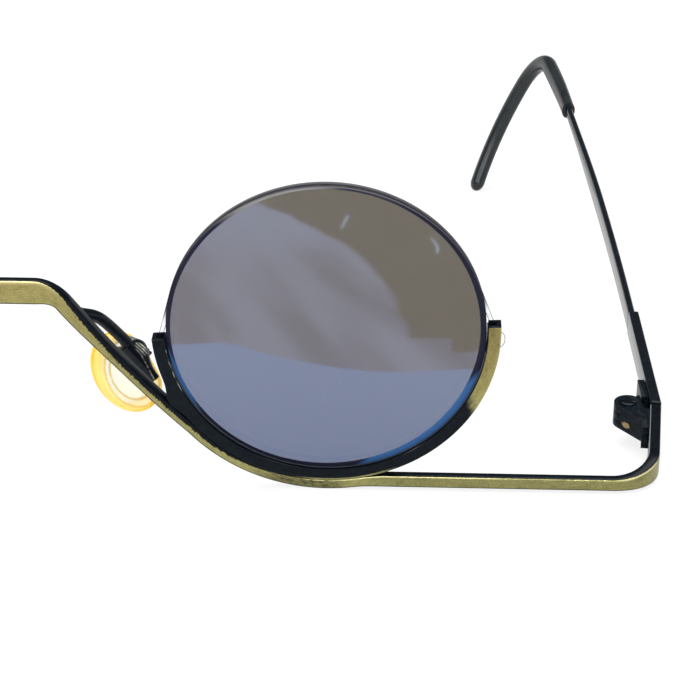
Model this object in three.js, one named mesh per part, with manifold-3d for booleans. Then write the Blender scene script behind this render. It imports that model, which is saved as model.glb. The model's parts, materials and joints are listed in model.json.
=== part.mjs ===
// Small round half-rim sunglasses, open and standing on the front bar and the two temple tips.
// Front frame: x to the wearer's left, y back to the ears, z up, origin midway between the lens centres.
// One side is built at +x and mirrored for the other. The front then leans until all of it rests on z = 0.
import * as THREE from "three";
import { mergeVertices } from "three/addons/utils/BufferGeometryUtils.js";
import Module from "manifold-3d";

const wasm = await Module();
wasm.setup();

// Lenses, in millimetres; angles are in degrees throughout.
const LENS_SPACING = 67.6;
const LENS_DIAMETER = 33.1;
const LENS_THICKNESS = 1.5;
const LENS_CURVE_RADIUS = 200;
const LENS_BEVEL_WIDTH = 0.42;
const LENS_BEVEL_DEPTH = 0.3;
const LENS_GROOVE_WIDTH = 0.7;
const LENS_GROOVE_DEPTH = 0.5;

// Nylon cord over the top of each lens, with a tail held inside each end of the rim.
const CORD_DIAMETER = 0.5;
const CORD_TAIL = 2;

// Half rim, a channel open towards the lens, and the plastic liner pressed into it.
const RIM_OFF_LENS = 0.15;
const RIM_WIDTH = 1.35;
const RIM_DEPTH = 1.7;
const RIM_CHANNEL_WIDTH = 0.8;
const RIM_CHANNEL_DEPTH = 0.9;
const RIM_CHAMFER = 0.14;
const RIM_ABOVE_TEMPORAL = 3;
const RIM_BELOW_NASAL = 4;
const LINER_FROM_RIM_END = 3;
const LINER_RIDGE_WIDTH = 0.46;

// Front bar: bridge, diagonal beside the nose, arc under the lens, outer run and endpiece.
const BRIDGE_HEIGHT = 3.9;
const BRIDGE_FLAT = 7.9;
const BRIDGE_FACE = 2.55;
const BRIDGE_DEPTH = 1;
const BRIDGE_CORNER_RADIUS = 2.4;
const DIAGONAL_FACE = 1.2;
const DIAGONAL_DEPTH = 1.6;
const UNDER_DEPTH = 1.6;
const UNDER_PAST_LOWEST = 8.5;
const WAVE_RADIUS = 25;
const OUTER_FACE = 1.47;
const OUTER_DEPTH = 1.1;
const FRONT_SPAN = 139.4;
const END_CORNER_RADIUS = 5.5;
const END_SPLAY = 6;
const END_DEPTH = 1.2;
const END_FACE = 2.7;
const ENDPIECE_LENGTH = 10;
const BAR_AHEAD_OF_LENS = 0.65;
const BAR_CHAMFER = 0.22;

// Hinge: two knuckles on the front leaf, one on the temple leaf, and a slotted screw.
const PIN_INSET = 2.5;
const KNUCKLE_DIAMETER = 3.2;
const HINGE_HEIGHT = 2.7;
const MIDDLE_KNUCKLE_HEIGHT = 0.9;
const LEAF_THICKNESS = 0.8;
const FRONT_LEAF_LENGTH = 4.2;
const FRONT_LEAF_FROM_PIN = 1;
const TEMPLE_LEAF_LENGTH = 3.8;
const TEMPLE_LEAF_FROM_PIN = 1.2;
const HINGE_SCREW_DIAMETER = 1;
const HINGE_HEAD_DIAMETER = 1.8;
const HINGE_HEAD_HEIGHT = 0.5;
const HEAD_RECESS = 0.35;
const FRONT_KNUCKLE_ARC = [40, 225];
const TEMPLE_KNUCKLE_ARC = [135, 320];
const SLOT_WIDTH = 0.3;
const SLOT_DEPTH = 0.25;

// Temple: butt plate, flat wire and plastic tip. The straight runs from the pin to the bend over the ear.
const TEMPLE_TOE_IN = 2.2;
const TEMPLE_BOW = 2.9;
const TIP_BOW = 3.1;
const TEMPLE_STRAIGHT = 103.4;
const HOOK_RUN = 19;
const HOOK_CURL = 40;
const HOOK_DROP = 85;
const HOOK_INWARD = 26.7;
const BEND_RADIUS = 6.5;
const BUTT_THICKNESS = 1.2;
const BUTT_HEIGHT = 3.2;
const BUTT_LENGTH = 21;
const BUTT_CHAMFER = 0.2;
const WIRE_THICKNESS = 0.88;
const WIRE_FRONT_HEIGHT = 2.8;
const WIRE_BACK_HEIGHT = 1.6;
const WIRE_CHAMFER = 0.2;
const WIRE_SHORT_OF_TIP = 7;
const TIP_START = 86;
const TIP_THICKNESS = 2.1;
const TIP_HEIGHT = 2.4;
const TIP_MOUTH_THICKNESS = 1.9;
const TIP_MOUTH_HEIGHT = 2.4;
const TIP_END_ROUNDING = 1.5;
const TIP_END_RINGS = [0.5, 0.8, 0.96];

// Nose pads on their arms, with the angles that turn each pad from facing straight across the nose.
const PAD_OFF_CENTRE = 12.5;
const PAD_BEHIND_LENS = 7;
const PAD_BELOW_LENS = 9.9;
const PAD_SPLAY = 45;
const PAD_FLARE = 9;
const PAD_RAKE = 31;
const PAD_LENGTH = 11.4;
const PAD_WIDTH = 7.6;
const PAD_THICKNESS = 2.4;
// Half the pad's outline as parts of its half width and of its thickness, from the back to the nose.
const PAD_PROFILE = [
  [0, 0],
  [0.8, 0],
  [0.95, 0.16],
  [1, 0.42],
  [0.95, 0.68],
  [0.8, 0.86],
  [0.45, 0.97],
  [0, 1],
];
const CORE_LENGTH = 3.4;
const CORE_WIDTH = 2.4;
const CORE_THICKNESS = 0.5;
const LUG_UP = 1.6;
const LUG_ASIDE = 1;
const LUG_WIDTH = 1.1;
const LUG_HEIGHT = 1.6;
const LUG_REACH = 2.2;
const PAD_PIVOT_DEPTH = 1.25;
const BOX_WALL = 0.45;
const BOX_HEIGHT = 4.6;
const BOX_BACK = 3.1;
const BOX_OFF_PAD = 0.45;
const PAD_SCREW_DIAMETER = 0.8;
const PAD_HEAD_DIAMETER = 1.5;
const PAD_HEAD_HEIGHT = 0.5;
const ARM_DIAMETER = 1.1;
const ARM_DOWN_DIAGONAL = 3.6;
const ARM_STUB = 0.6;
const ARM_RUN = 1.6;
const ARM_REACH = 2.8;
const ARM_APPROACH = 1.2;

// Clearances: pieces fixed to each other, pieces that turn, and a screw in its hole.
const FIT = 0.05;
const TURN_PLAY = 0.08;
const SCREW_PLAY = 0.07;

const ROUND_SIDES = 24;
const WIRE_SIDES = 8;
const TIP_SIDES = 12;
const LENS_SIDES = 56;
const ARC_STEP = 5;
const ARM_STEPS = 14;
const WIRE_STEPS = 6;
const TIP_STEPS = 4;
const BEND_STEPS = 8;
const HOOK_STEPS = 5;
const WELD = 1e-4;
const LEAN_HALVINGS = 40;

const LENS_RADIUS = LENS_DIAMETER / 2;
const RIM_INNER = LENS_RADIUS + RIM_OFF_LENS;
const RIM_OUTER = RIM_INNER + RIM_WIDTH;
const GROOVE_RADIUS = LENS_RADIUS - LENS_GROOVE_DEPTH;
const HALF_TURN = 180;
const RIM_SWEEP = HALF_TURN + RIM_ABOVE_TEMPORAL - RIM_BELOW_NASAL;
const AXIS_X = new THREE.Vector3(1, 0, 0);
const AXIS_Y = new THREE.Vector3(0, 1, 0);
const AXIS_Z = new THREE.Vector3(0, 0, 1);

const radians = THREE.MathUtils.degToRad;
const mix = THREE.MathUtils.lerp;

const brass = { color: 0x8c895a, roughness: 0.42, metalness: 1 };
const blackMetal = { color: 0x14181c, roughness: 0.3, metalness: 0.7 };
const steel = { color: 0xb9bcbe, roughness: 0.3, metalness: 1 };
const lensTint = { color: 0x7d8096, roughness: 0.05, metalness: 0, transparent: true, opacity: 0.7 };
const nylon = { color: 0xe4e4e0, roughness: 0.25, metalness: 0 };
const amber = { color: 0xe2cf8a, roughness: 0.25, metalness: 0, transparent: true, opacity: 0.8 };
const blackPlastic = { color: 0x0d0f12, roughness: 0.35, metalness: 0 };

class ArcCurve3 extends THREE.Curve {
  constructor(centre, start, axis, degrees) {
    super();
    this.centre = centre;
    this.spoke = start.clone().sub(centre);
    this.axis = axis;
    this.angle = radians(degrees);
  }
  getPoint(t, target = new THREE.Vector3()) {
    return target.copy(this.spoke).applyAxisAngle(this.axis, this.angle * t).add(this.centre);
  }
  getTangent(t, target = new THREE.Vector3()) {
    const spoke = this.spoke.clone().applyAxisAngle(this.axis, this.angle * t);
    return target.crossVectors(this.axis, spoke).multiplyScalar(Math.sign(this.angle)).normalize();
  }
}

// Sections are lists of [height, depth] pairs, anticlockwise with depth across and height up.
function barSection(height, depth, chamfer) {
  const h = height / 2;
  return [
    [-h, chamfer],
    [-h, depth - chamfer],
    [-h + chamfer, depth],
    [h - chamfer, depth],
    [h, depth - chamfer],
    [h, chamfer],
    [h - chamfer, 0],
    [-h + chamfer, 0],
  ];
}

function centredSection(height, depth, chamfer) {
  return barSection(height, depth, chamfer).map(([a, b]) => [a, b - depth / 2]);
}

function ovalSection(height, depth, sides) {
  return Array.from({ length: sides }, (_, k) => {
    const turn = (2 * Math.PI * k) / sides;
    return [(height / 2) * Math.sin(turn), (depth / 2) * Math.cos(turn)];
  });
}

// A closed solid through a run of rings, each a section at a point with its height and depth directions.
function loft(stations) {
  const outline = stations[0].section;
  const count = outline.length;
  const points = stations.flatMap(({ at, up, back, section }) =>
    section.map(([a, b]) => at.clone().addScaledVector(up, a).addScaledVector(back, b)),
  );
  const index = [];
  for (let ring = 0; ring + 1 < stations.length; ring += 1) {
    for (let k = 0; k < count; k += 1) {
      const here = ring * count + k;
      const beside = ring * count + ((k + 1) % count);
      index.push(here, beside, beside + count, here, beside + count, here + count);
    }
  }
  const flat = outline.map(([a, b]) => new THREE.Vector2(b, a));
  const last = (stations.length - 1) * count;
  THREE.ShapeUtils.triangulateShape(flat, []).forEach(([p, q, r]) => {
    const area = THREE.ShapeUtils.area([flat[p], flat[q], flat[r]]);
    const [s, t] = area > 0 ? [q, r] : [r, q];
    index.push(p, t, s, last + p, last + s, last + t);
  });
  return new THREE.BufferGeometry().setFromPoints(points).setIndex(index);
}

// Stations along a run of curves. A flat leg lies in the front plane; any other keeps its height upright.
function stationsAlong(legs) {
  const stations = [];
  legs.forEach(({ curve, steps, from, to, flat, chamfer }, leg) => {
    for (let k = leg === 0 ? 0 : 1; k <= steps; k += 1) {
      const t = k / steps;
      const blend = THREE.MathUtils.smoothstep(t, 0, 1);
      const along = curve.getTangent(t);
      const up = flat ? along.clone().cross(AXIS_Y) : AXIS_Z.clone();
      const back = flat ? AXIS_Y.clone() : AXIS_Z.clone().cross(along);
      const section = barSection(mix(from[0], to[0], blend), mix(from[1], to[1], blend), chamfer);
      stations.push({ at: curve.getPoint(t), up, back, section });
    }
  });
  return stations;
}

function mirrored({ at, up, back, section }) {
  const flip = (vector) => new THREE.Vector3(-vector.x, vector.y, vector.z);
  return { at: flip(at), up: flip(up), back: flip(back), section };
}

function solid(geometry) {
  const bare = geometry.clone();
  bare.deleteAttribute("normal");
  bare.deleteAttribute("uv");
  const merged = mergeVertices(bare, WELD);
  const mesh = new wasm.Mesh({
    numProp: 3,
    vertProperties: merged.attributes.position.array,
    triVerts: new Uint32Array(merged.index.array),
  });
  return new wasm.Manifold(mesh);
}

function joined(first, ...rest) {
  return surface(rest.reduce((whole, piece) => whole.add(solid(piece)), solid(first)));
}

function cut(first, ...tools) {
  return surface(tools.reduce((whole, tool) => whole.subtract(solid(tool)), solid(first)));
}

function surface(manifold) {
  const mesh = manifold.getMesh();
  return new THREE.BufferGeometry()
    .setAttribute("position", new THREE.BufferAttribute(mesh.vertProperties, 3))
    .setIndex(new THREE.BufferAttribute(mesh.triVerts, 1));
}

function piece(name, geometry, look) {
  const finished = geometry.index ? geometry.toNonIndexed() : geometry.clone();
  finished.computeVertexNormals();
  const mesh = new THREE.Mesh(finished, new THREE.MeshStandardMaterial(look));
  mesh.name = name;
  return mesh;
}

function box(width, length, height, x, y, z) {
  return new THREE.BoxGeometry(width, length, height).translate(x, y, z);
}

function pin(diameter, height, z) {
  return new THREE.CylinderGeometry(diameter / 2, diameter / 2, height, ROUND_SIDES)
    .rotateX(Math.PI / 2)
    .translate(0, 0, z);
}

// The screw stands on z, its head under the top end and a slot across it.
function slottedScrew(shaft, length, head, headHeight) {
  const body = joined(pin(shaft, length, -length / 2), pin(head, headHeight, -headHeight / 2));
  return cut(body, box(2 * head, SLOT_WIDTH, 2 * SLOT_DEPTH, 0, 0, 0));
}

// The path of the bar's front face, from the middle of the bridge to the joint with the temple.
function barLegs() {
  const front = -BAR_AHEAD_OF_LENS;
  const underRadius = RIM_OUTER + FIT + DIAGONAL_FACE / 2;
  const corner = new THREE.Vector3(BRIDGE_FLAT / 2, front, BRIDGE_HEIGHT - BRIDGE_CORNER_RADIUS);
  const lens = new THREE.Vector3(LENS_SPACING / 2, front, 0);
  const across = lens.clone().sub(corner);
  const tangent = Math.asin((BRIDGE_CORNER_RADIUS + underRadius) / across.length());
  const slope = tangent - Math.atan2(across.z, across.x);
  const spoke = new THREE.Vector3(Math.sin(slope), 0, Math.cos(slope));
  const steep = THREE.MathUtils.radToDeg(slope);
  const cornerStart = new THREE.Vector3(BRIDGE_FLAT / 2, front, BRIDGE_HEIGHT);
  const cornerEnd = corner.clone().addScaledVector(spoke, BRIDGE_CORNER_RADIUS);
  const underStart = lens.clone().addScaledVector(spoke, -underRadius);
  const narrowed = cornerEnd.clone().lerp(underStart, 1 / 3);
  const under = new ArcCurve3(lens, underStart, AXIS_Y, -(steep + UNDER_PAST_LOWEST));
  const underEnd = under.getPoint(1);
  const waveCentre = underEnd.clone().sub(lens).setLength(WAVE_RADIUS).add(underEnd);
  const wave = new ArcCurve3(waveCentre, underEnd, AXIS_Y, UNDER_PAST_LOWEST);
  const waveEnd = wave.getPoint(1);
  const turn = 90 - END_SPLAY;
  const outerEnd = waveEnd.clone();
  outerEnd.x = FRONT_SPAN / 2 - END_CORNER_RADIUS * Math.sin(radians(turn));
  const endCentre = outerEnd.clone().addScaledVector(AXIS_Y, END_CORNER_RADIUS);
  const end = new ArcCurve3(endCentre, outerEnd, AXIS_Z, turn);
  const endStart = end.getPoint(1);
  const joint = endStart.clone().addScaledVector(end.getTangent(1), ENDPIECE_LENGTH);
  const bridgeSize = [BRIDGE_FACE, BRIDGE_DEPTH];
  const diagonalSize = [DIAGONAL_FACE, DIAGONAL_DEPTH];
  const cornerSize = [mix(BRIDGE_FACE, DIAGONAL_FACE, 3 / 4), mix(BRIDGE_DEPTH, DIAGONAL_DEPTH, 3 / 4)];
  const underSize = [DIAGONAL_FACE, UNDER_DEPTH];
  const outerSize = [OUTER_FACE, OUTER_DEPTH];
  const endSize = [END_FACE, END_DEPTH];
  const leg = (curve, steps, from, to, flat) => ({ curve, steps, from, to, flat, chamfer: BAR_CHAMFER });
  const bridgeMiddle = new THREE.Vector3(0, front, BRIDGE_HEIGHT);
  const diagonal = leg(new THREE.LineCurve3(cornerEnd, narrowed), 3, cornerSize, diagonalSize, true);
  const endpiece = leg(new THREE.LineCurve3(endStart, joint), 1, endSize, endSize, false);
  const path = [
    leg(new THREE.LineCurve3(bridgeMiddle, cornerStart), 1, bridgeSize, bridgeSize, true),
    leg(new ArcCurve3(corner, cornerStart, AXIS_Y, steep), 5, bridgeSize, cornerSize, true),
    diagonal,
    leg(new THREE.LineCurve3(narrowed, underStart), 1, diagonalSize, diagonalSize, true),
    leg(under, Math.ceil((steep + UNDER_PAST_LOWEST) / ARC_STEP), diagonalSize, underSize, true),
    leg(wave, 3, underSize, outerSize, true),
    leg(new THREE.LineCurve3(waveEnd, outerEnd), 2, outerSize, outerSize, true),
    leg(end, 9, outerSize, endSize, false),
    endpiece,
  ];
  return { path, diagonal: diagonal.curve, endpiece: endpiece.curve };
}

function frontBar(path) {
  const half = stationsAlong(path);
  return loft([...half.slice(1).reverse().map(mirrored), ...half]);
}

function lens() {
  const half = LENS_THICKNESS / 2;
  const faceRadius = LENS_RADIUS - LENS_BEVEL_WIDTH;
  const sag = (r) => LENS_CURVE_RADIUS - Math.sqrt(LENS_CURVE_RADIUS ** 2 - r ** 2);
  const face = [0, 1 / 3, 2 / 3, 1].map((part) => {
    const r = part * faceRadius;
    return new THREE.Vector2(r, sag(r) - sag(faceRadius));
  });
  const groove = LENS_GROOVE_WIDTH / 2;
  const profile = [
    ...face.map((p) => new THREE.Vector2(p.x, p.y - half)),
    new THREE.Vector2(LENS_RADIUS, LENS_BEVEL_DEPTH - half),
    new THREE.Vector2(LENS_RADIUS, -groove),
    new THREE.Vector2(GROOVE_RADIUS, -groove),
    new THREE.Vector2(GROOVE_RADIUS, groove),
    new THREE.Vector2(LENS_RADIUS, groove),
    new THREE.Vector2(LENS_RADIUS, half),
    ...face.toReversed().map((p) => new THREE.Vector2(p.x, p.y + half)),
  ];
  return new THREE.LatheGeometry(profile, LENS_SIDES);
}

function onCircle(radius, degrees) {
  return new THREE.Vector3(radius * Math.cos(radians(degrees)), 0, radius * Math.sin(radians(degrees)));
}

// Stations for one section carried along a run of curves that lie in the lens plane.
function inLensPlane(curves, section) {
  const stations = [];
  curves.forEach(([curve, steps], leg) => {
    for (let k = leg === 0 ? 0 : 1; k <= steps; k += 1) {
      const up = curve.getTangent(k / steps).cross(AXIS_Y);
      stations.push({ at: curve.getPoint(k / steps), up, back: AXIS_Y, section });
    }
  });
  return stations;
}

function rimArc(radius, short) {
  const inset = THREE.MathUtils.radToDeg(short / RIM_INNER);
  const sweep = RIM_SWEEP - 2 * inset;
  const start = onCircle(radius, RIM_ABOVE_TEMPORAL - inset);
  return [[new ArcCurve3(new THREE.Vector3(), start, AXIS_Y, sweep), Math.ceil(sweep / ARC_STEP)]];
}

function rim() {
  const half = RIM_DEPTH / 2;
  const slot = RIM_CHANNEL_WIDTH / 2;
  const section = [
    [0, -half],
    [0, -slot],
    [RIM_CHANNEL_DEPTH, -slot],
    [RIM_CHANNEL_DEPTH, slot],
    [0, slot],
    [0, half],
    [RIM_WIDTH - RIM_CHAMFER, half],
    [RIM_WIDTH, half - RIM_CHAMFER],
    [RIM_WIDTH, RIM_CHAMFER - half],
    [RIM_WIDTH - RIM_CHAMFER, -half],
  ];
  return loft(inLensPlane(rimArc(RIM_INNER, 0), section));
}

function rimLiner() {
  const ridge = LINER_RIDGE_WIDTH / 2;
  const body = RIM_CHANNEL_WIDTH / 2 - FIT;
  const tip = GROOVE_RADIUS + 2 * FIT - RIM_INNER;
  const shoulder = LENS_RADIUS + FIT - RIM_INNER;
  const seat = RIM_CHANNEL_DEPTH - FIT;
  const section = [
    [tip, -ridge],
    [tip, ridge],
    [shoulder, ridge],
    [shoulder, body],
    [seat, body],
    [seat, -body],
    [shoulder, -body],
    [shoulder, -ridge],
  ];
  return loft(inLensPlane(rimArc(RIM_INNER, LINER_FROM_RIM_END), section));
}

function lensCord() {
  const centre = new THREE.Vector3();
  const onLens = GROOVE_RADIUS + FIT + CORD_DIAMETER / 2;
  const inRim = RIM_INNER + RIM_CHANNEL_DEPTH / 2;
  const tail = THREE.MathUtils.radToDeg(CORD_TAIL / inRim);
  const leave = THREE.MathUtils.radToDeg(Math.acos(onLens / inRim));
  const nasalEnd = HALF_TURN + RIM_BELOW_NASAL;
  const temporal = onCircle(inRim, RIM_ABOVE_TEMPORAL);
  const nasal = onCircle(inRim, nasalEnd);
  const meet = onCircle(onLens, RIM_ABOVE_TEMPORAL + leave);
  const over = nasalEnd - RIM_ABOVE_TEMPORAL - 2 * leave;
  const top = new ArcCurve3(centre, meet, AXIS_Y, -over);
  const tailStart = onCircle(inRim, RIM_ABOVE_TEMPORAL - tail);
  const curves = [
    [new ArcCurve3(centre, tailStart, AXIS_Y, -tail), 2],
    [new THREE.LineCurve3(temporal, meet), 1],
    [top, Math.ceil(over / ARC_STEP)],
    [new THREE.LineCurve3(top.getPoint(1), nasal), 1],
    [new ArcCurve3(centre, nasal, AXIS_Y, -tail), 2],
  ];
  return loft(inLensPlane(curves, ovalSection(CORD_DIAMETER, CORD_DIAMETER, WIRE_SIDES)));
}

function leafSlab(shape, height, z) {
  const settings = { depth: height, bevelEnabled: false, curveSegments: ROUND_SIDES / 2 };
  return new THREE.ExtrudeGeometry(shape, settings).translate(0, 0, z);
}

function holeThrough(play) {
  return pin(HINGE_SCREW_DIAMETER + 2 * play, 2 * HINGE_HEIGHT, 0);
}

// Hinge pieces stand on the pin axis: x outwards, y back along the endpiece, z from the middle of the hinge.
function hingeFrontLeaf() {
  const outer = PIN_INSET - FIT;
  const inner = outer - LEAF_THICKNESS;
  const near = -FRONT_LEAF_FROM_PIN;
  const far = near - FRONT_LEAF_LENGTH;
  const radius = KNUCKLE_DIAMETER / 2;
  const shape = new THREE.Shape();
  shape.moveTo(outer, near);
  shape.absarc(0, 0, radius, ...FRONT_KNUCKLE_ARC.map(radians), false);
  const foot = mix(near, far, 2 / 3);
  shape.lineTo(inner, foot);
  shape.lineTo(outer, foot);
  const middle = (outer + inner) / 2;
  const plate = box(LEAF_THICKNESS, FRONT_LEAF_LENGTH, HINGE_HEIGHT, middle, (near + far) / 2, 0);
  const wedge = leafSlab(shape, HINGE_HEIGHT, -HINGE_HEIGHT / 2);
  const room = MIDDLE_KNUCKLE_HEIGHT + 2 * TURN_PLAY;
  const knuckleRoom = pin(KNUCKLE_DIAMETER + 2 * TURN_PLAY, room, 0);
  const armRoom = box(2 * PIN_INSET, 2 * PIN_INSET, room, 0, near + PIN_INSET, 0);
  const recess = pin(HINGE_HEAD_DIAMETER + 2 * SCREW_PLAY, 2 * HEAD_RECESS + 2 * FIT, HINGE_HEIGHT / 2);
  return cut(joined(plate, wedge), knuckleRoom, armRoom, holeThrough(SCREW_PLAY), recess);
}

function hingeTempleLeaf() {
  const outer = PIN_INSET * Math.cos(radians(TEMPLE_TOE_IN + END_SPLAY)) - FIT;
  const inner = outer - LEAF_THICKNESS;
  const near = TEMPLE_LEAF_FROM_PIN;
  const far = near + TEMPLE_LEAF_LENGTH;
  const radius = KNUCKLE_DIAMETER / 2;
  const shape = new THREE.Shape();
  shape.moveTo(outer, mix(near, far, 1 / 2));
  shape.lineTo(inner, mix(near, far, 1 / 2));
  shape.absarc(0, 0, radius, ...TEMPLE_KNUCKLE_ARC.map(radians), false);
  shape.lineTo(outer, near);
  const middle = (outer + inner) / 2;
  const plate = box(LEAF_THICKNESS, TEMPLE_LEAF_LENGTH, HINGE_HEIGHT, middle, (near + far) / 2, 0);
  const knuckle = leafSlab(shape, MIDDLE_KNUCKLE_HEIGHT, -MIDDLE_KNUCKLE_HEIGHT / 2);
  return cut(joined(plate, knuckle), holeThrough(SCREW_PLAY));
}

function hingeScrew() {
  const top = HINGE_HEAD_HEIGHT - HEAD_RECESS;
  const length = HINGE_HEIGHT + top;
  return slottedScrew(HINGE_SCREW_DIAMETER, length, HINGE_HEAD_DIAMETER, HINGE_HEAD_HEIGHT)
    .translate(0, 0, HINGE_HEIGHT / 2 + top);
}

// Temple pieces stand on the pin axis too, with y along the temple. The butt is mitred to meet the endpiece.
function templeButt() {
  const lean = radians(TEMPLE_TOE_IN + END_SPLAY);
  const inner = PIN_INSET * Math.cos(lean);
  const half = BUTT_THICKNESS / 2;
  const slope = -Math.tan(lean);
  const section = centredSection(BUTT_HEIGHT, BUTT_THICKNESS, BUTT_CHAMFER);
  const front = (TURN_PLAY / Math.cos(lean)) + slope * (inner + half);
  const mitre = new THREE.Vector3(-1, -slope, 0);
  const at = new THREE.Vector3(inner + half, front, 0);
  const end = new THREE.Vector3(inner + half, BUTT_LENGTH, 0);
  return loft([
    { at, up: AXIS_Z, back: mitre, section },
    { at: end, up: AXIS_Z, back: AXIS_X.clone().negate(), section },
  ]);
}

// The runs of the temple's centre line: the bowed wire, the start of the tip, the bend and the hook.
function templeRuns(shortOfTip) {
  const x = PIN_INSET * Math.cos(radians(TEMPLE_TOE_IN + END_SPLAY)) + WIRE_THICKNESS / 2;
  const wireAt = BUTT_LENGTH + FIT;
  const bendAt = TEMPLE_STRAIGHT;
  const hookAt = bendAt + BEND_RADIUS * radians(HOOK_DROP);
  const bowed = (start, along, length, bow) => {
    const centre = start.clone().addScaledVector(AXIS_Z.clone().cross(along), length / radians(bow));
    return new ArcCurve3(centre, start, AXIS_Z, bow);
  };
  const wire = bowed(new THREE.Vector3(x, wireAt, 0), AXIS_Y, TIP_START - wireAt, TEMPLE_BOW);
  const tip = bowed(wire.getPoint(1), wire.getTangent(1), bendAt - TIP_START, TIP_BOW);
  const bendStart = tip.getPoint(1);
  const along = tip.getTangent(1);
  const inward = AXIS_Z.clone().cross(along);
  const drop = AXIS_Z.clone().multiplyScalar(-Math.cos(radians(HOOK_INWARD)));
  drop.addScaledVector(inward, Math.sin(radians(HOOK_INWARD)));
  const bendCentre = bendStart.clone().addScaledVector(drop, BEND_RADIUS);
  const bend = new ArcCurve3(bendCentre, bendStart, along.clone().cross(drop), HOOK_DROP);
  const hookStart = bend.getPoint(1);
  const hookRun = HOOK_RUN - shortOfTip;
  const curlRadius = HOOK_RUN / radians(HOOK_CURL);
  const curlCentre = bendCentre.clone().sub(hookStart).setLength(curlRadius).add(hookStart);
  const hook = new ArcCurve3(curlCentre, hookStart, bend.axis, HOOK_CURL * (hookRun / HOOK_RUN));
  return [
    { curve: wire, steps: WIRE_STEPS, from: wireAt, to: TIP_START, twist: [0, 0] },
    { curve: tip, steps: TIP_STEPS, from: TIP_START, to: bendAt, twist: [0, HOOK_INWARD] },
    { curve: bend, steps: BEND_STEPS, from: bendAt, to: hookAt, inward: bend.axis },
    { curve: hook, steps: HOOK_STEPS, from: hookAt, to: hookAt + hookRun, inward: bend.axis },
  ];
}

// Stations of a section along those runs, its height turned into the plane of the hook before the bend.
function alongTemple(runs, sectionAt) {
  const stations = [];
  runs.forEach(({ curve, steps, from, to, twist, inward }, run) => {
    for (let k = run === 0 ? 0 : 1; k <= steps; k += 1) {
      const along = curve.getTangent(k / steps);
      const back = inward ? inward.clone() : AXIS_Z.clone().cross(along);
      const blend = THREE.MathUtils.smoothstep(k / steps, 0, 1);
      if (twist) back.applyAxisAngle(along, radians(mix(...twist, blend)));
      const up = along.clone().cross(back);
      const section = sectionAt(mix(from, to, k / steps));
      stations.push({ at: curve.getPoint(k / steps), up, back, section });
    }
  });
  return stations;
}

function wireStations(play) {
  return alongTemple(templeRuns(WIRE_SHORT_OF_TIP - play), (travelled) => {
    const narrowed = THREE.MathUtils.smoothstep(travelled, mix(BUTT_LENGTH, TIP_START, 1 / 2), TIP_START);
    const height = mix(WIRE_FRONT_HEIGHT, WIRE_BACK_HEIGHT, narrowed);
    return centredSection(height + 2 * play, WIRE_THICKNESS + 2 * play, WIRE_CHAMFER);
  });
}

function templeTip() {
  const runs = templeRuns(TIP_END_ROUNDING).slice(1);
  const opening = (runs.at(-1).to - TIP_START) / 3;
  const stations = alongTemple(runs, (travelled) => {
    const opened = THREE.MathUtils.smoothstep(travelled, TIP_START, TIP_START + opening);
    const height = mix(TIP_MOUTH_HEIGHT, TIP_HEIGHT, opened);
    return ovalSection(height, mix(TIP_MOUTH_THICKNESS, TIP_THICKNESS, opened), TIP_SIDES);
  });
  const last = stations.at(-1);
  const along = last.back.clone().cross(last.up);
  const rounding = TIP_END_RINGS.map((part) => ({
    ...last,
    at: last.at.clone().addScaledVector(along, part * TIP_END_ROUNDING),
    section: last.section.map(([a, b]) => [a, b].map((size) => size * Math.sqrt(1 - part ** 2))),
  }));
  return cut(loft([...stations, ...rounding]), loft(wireStations(2 * FIT)));
}

// Pad pieces stand on the middle of the pad's back: y up along the pad, z towards the nose.
function padCorePlate(play) {
  const through = CORE_THICKNESS + play;
  return box(CORE_WIDTH + 2 * play, CORE_LENGTH + 2 * play, through, -LUG_ASIDE, LUG_UP, through / 2);
}

function acrossLug(geometry) {
  return geometry.rotateY(-Math.PI / 2).translate(-LUG_ASIDE, LUG_UP, -PAD_PIVOT_DEPTH);
}

function nosePad() {
  const profile = PAD_PROFILE.map(([out, through]) => new THREE.Vector2(out, -through * PAD_THICKNESS));
  const oval = new THREE.LatheGeometry(profile.toReversed(), ROUND_SIDES)
    .rotateX(-Math.PI / 2)
    .scale(PAD_WIDTH / 2, PAD_LENGTH / 2, 1);
  return cut(oval, padCorePlate(FIT).translate(0, 0, -FIT / 2));
}

function padCore() {
  const lug = box(LUG_WIDTH, LUG_HEIGHT, LUG_REACH + FIT, -LUG_ASIDE, LUG_UP, -(LUG_REACH - FIT) / 2);
  const hole = acrossLug(pin(PAD_SCREW_DIAMETER + 2 * SCREW_PLAY, 4 * LUG_WIDTH, 0));
  return cut(joined(padCorePlate(0), lug), hole);
}

function padBox() {
  const inside = LUG_WIDTH / 2 + TURN_PLAY;
  const outside = inside + BOX_WALL;
  const shape = new THREE.Shape();
  shape.moveTo(-outside, -BOX_BACK);
  shape.lineTo(outside, -BOX_BACK);
  shape.lineTo(outside, -BOX_OFF_PAD);
  shape.lineTo(inside, -BOX_OFF_PAD);
  shape.lineTo(inside, BOX_WALL - BOX_BACK);
  shape.lineTo(-inside, BOX_WALL - BOX_BACK);
  shape.lineTo(-inside, -BOX_OFF_PAD);
  shape.lineTo(-outside, -BOX_OFF_PAD);
  const clip = new THREE.ExtrudeGeometry(shape, { depth: BOX_HEIGHT, bevelEnabled: false })
    .rotateX(Math.PI / 2)
    .translate(-LUG_ASIDE, LUG_UP + BOX_HEIGHT / 2, 0);
  const hole = acrossLug(pin(PAD_SCREW_DIAMETER + 2 * SCREW_PLAY, 4 * outside, 0));
  return cut(clip, hole);
}

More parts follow.
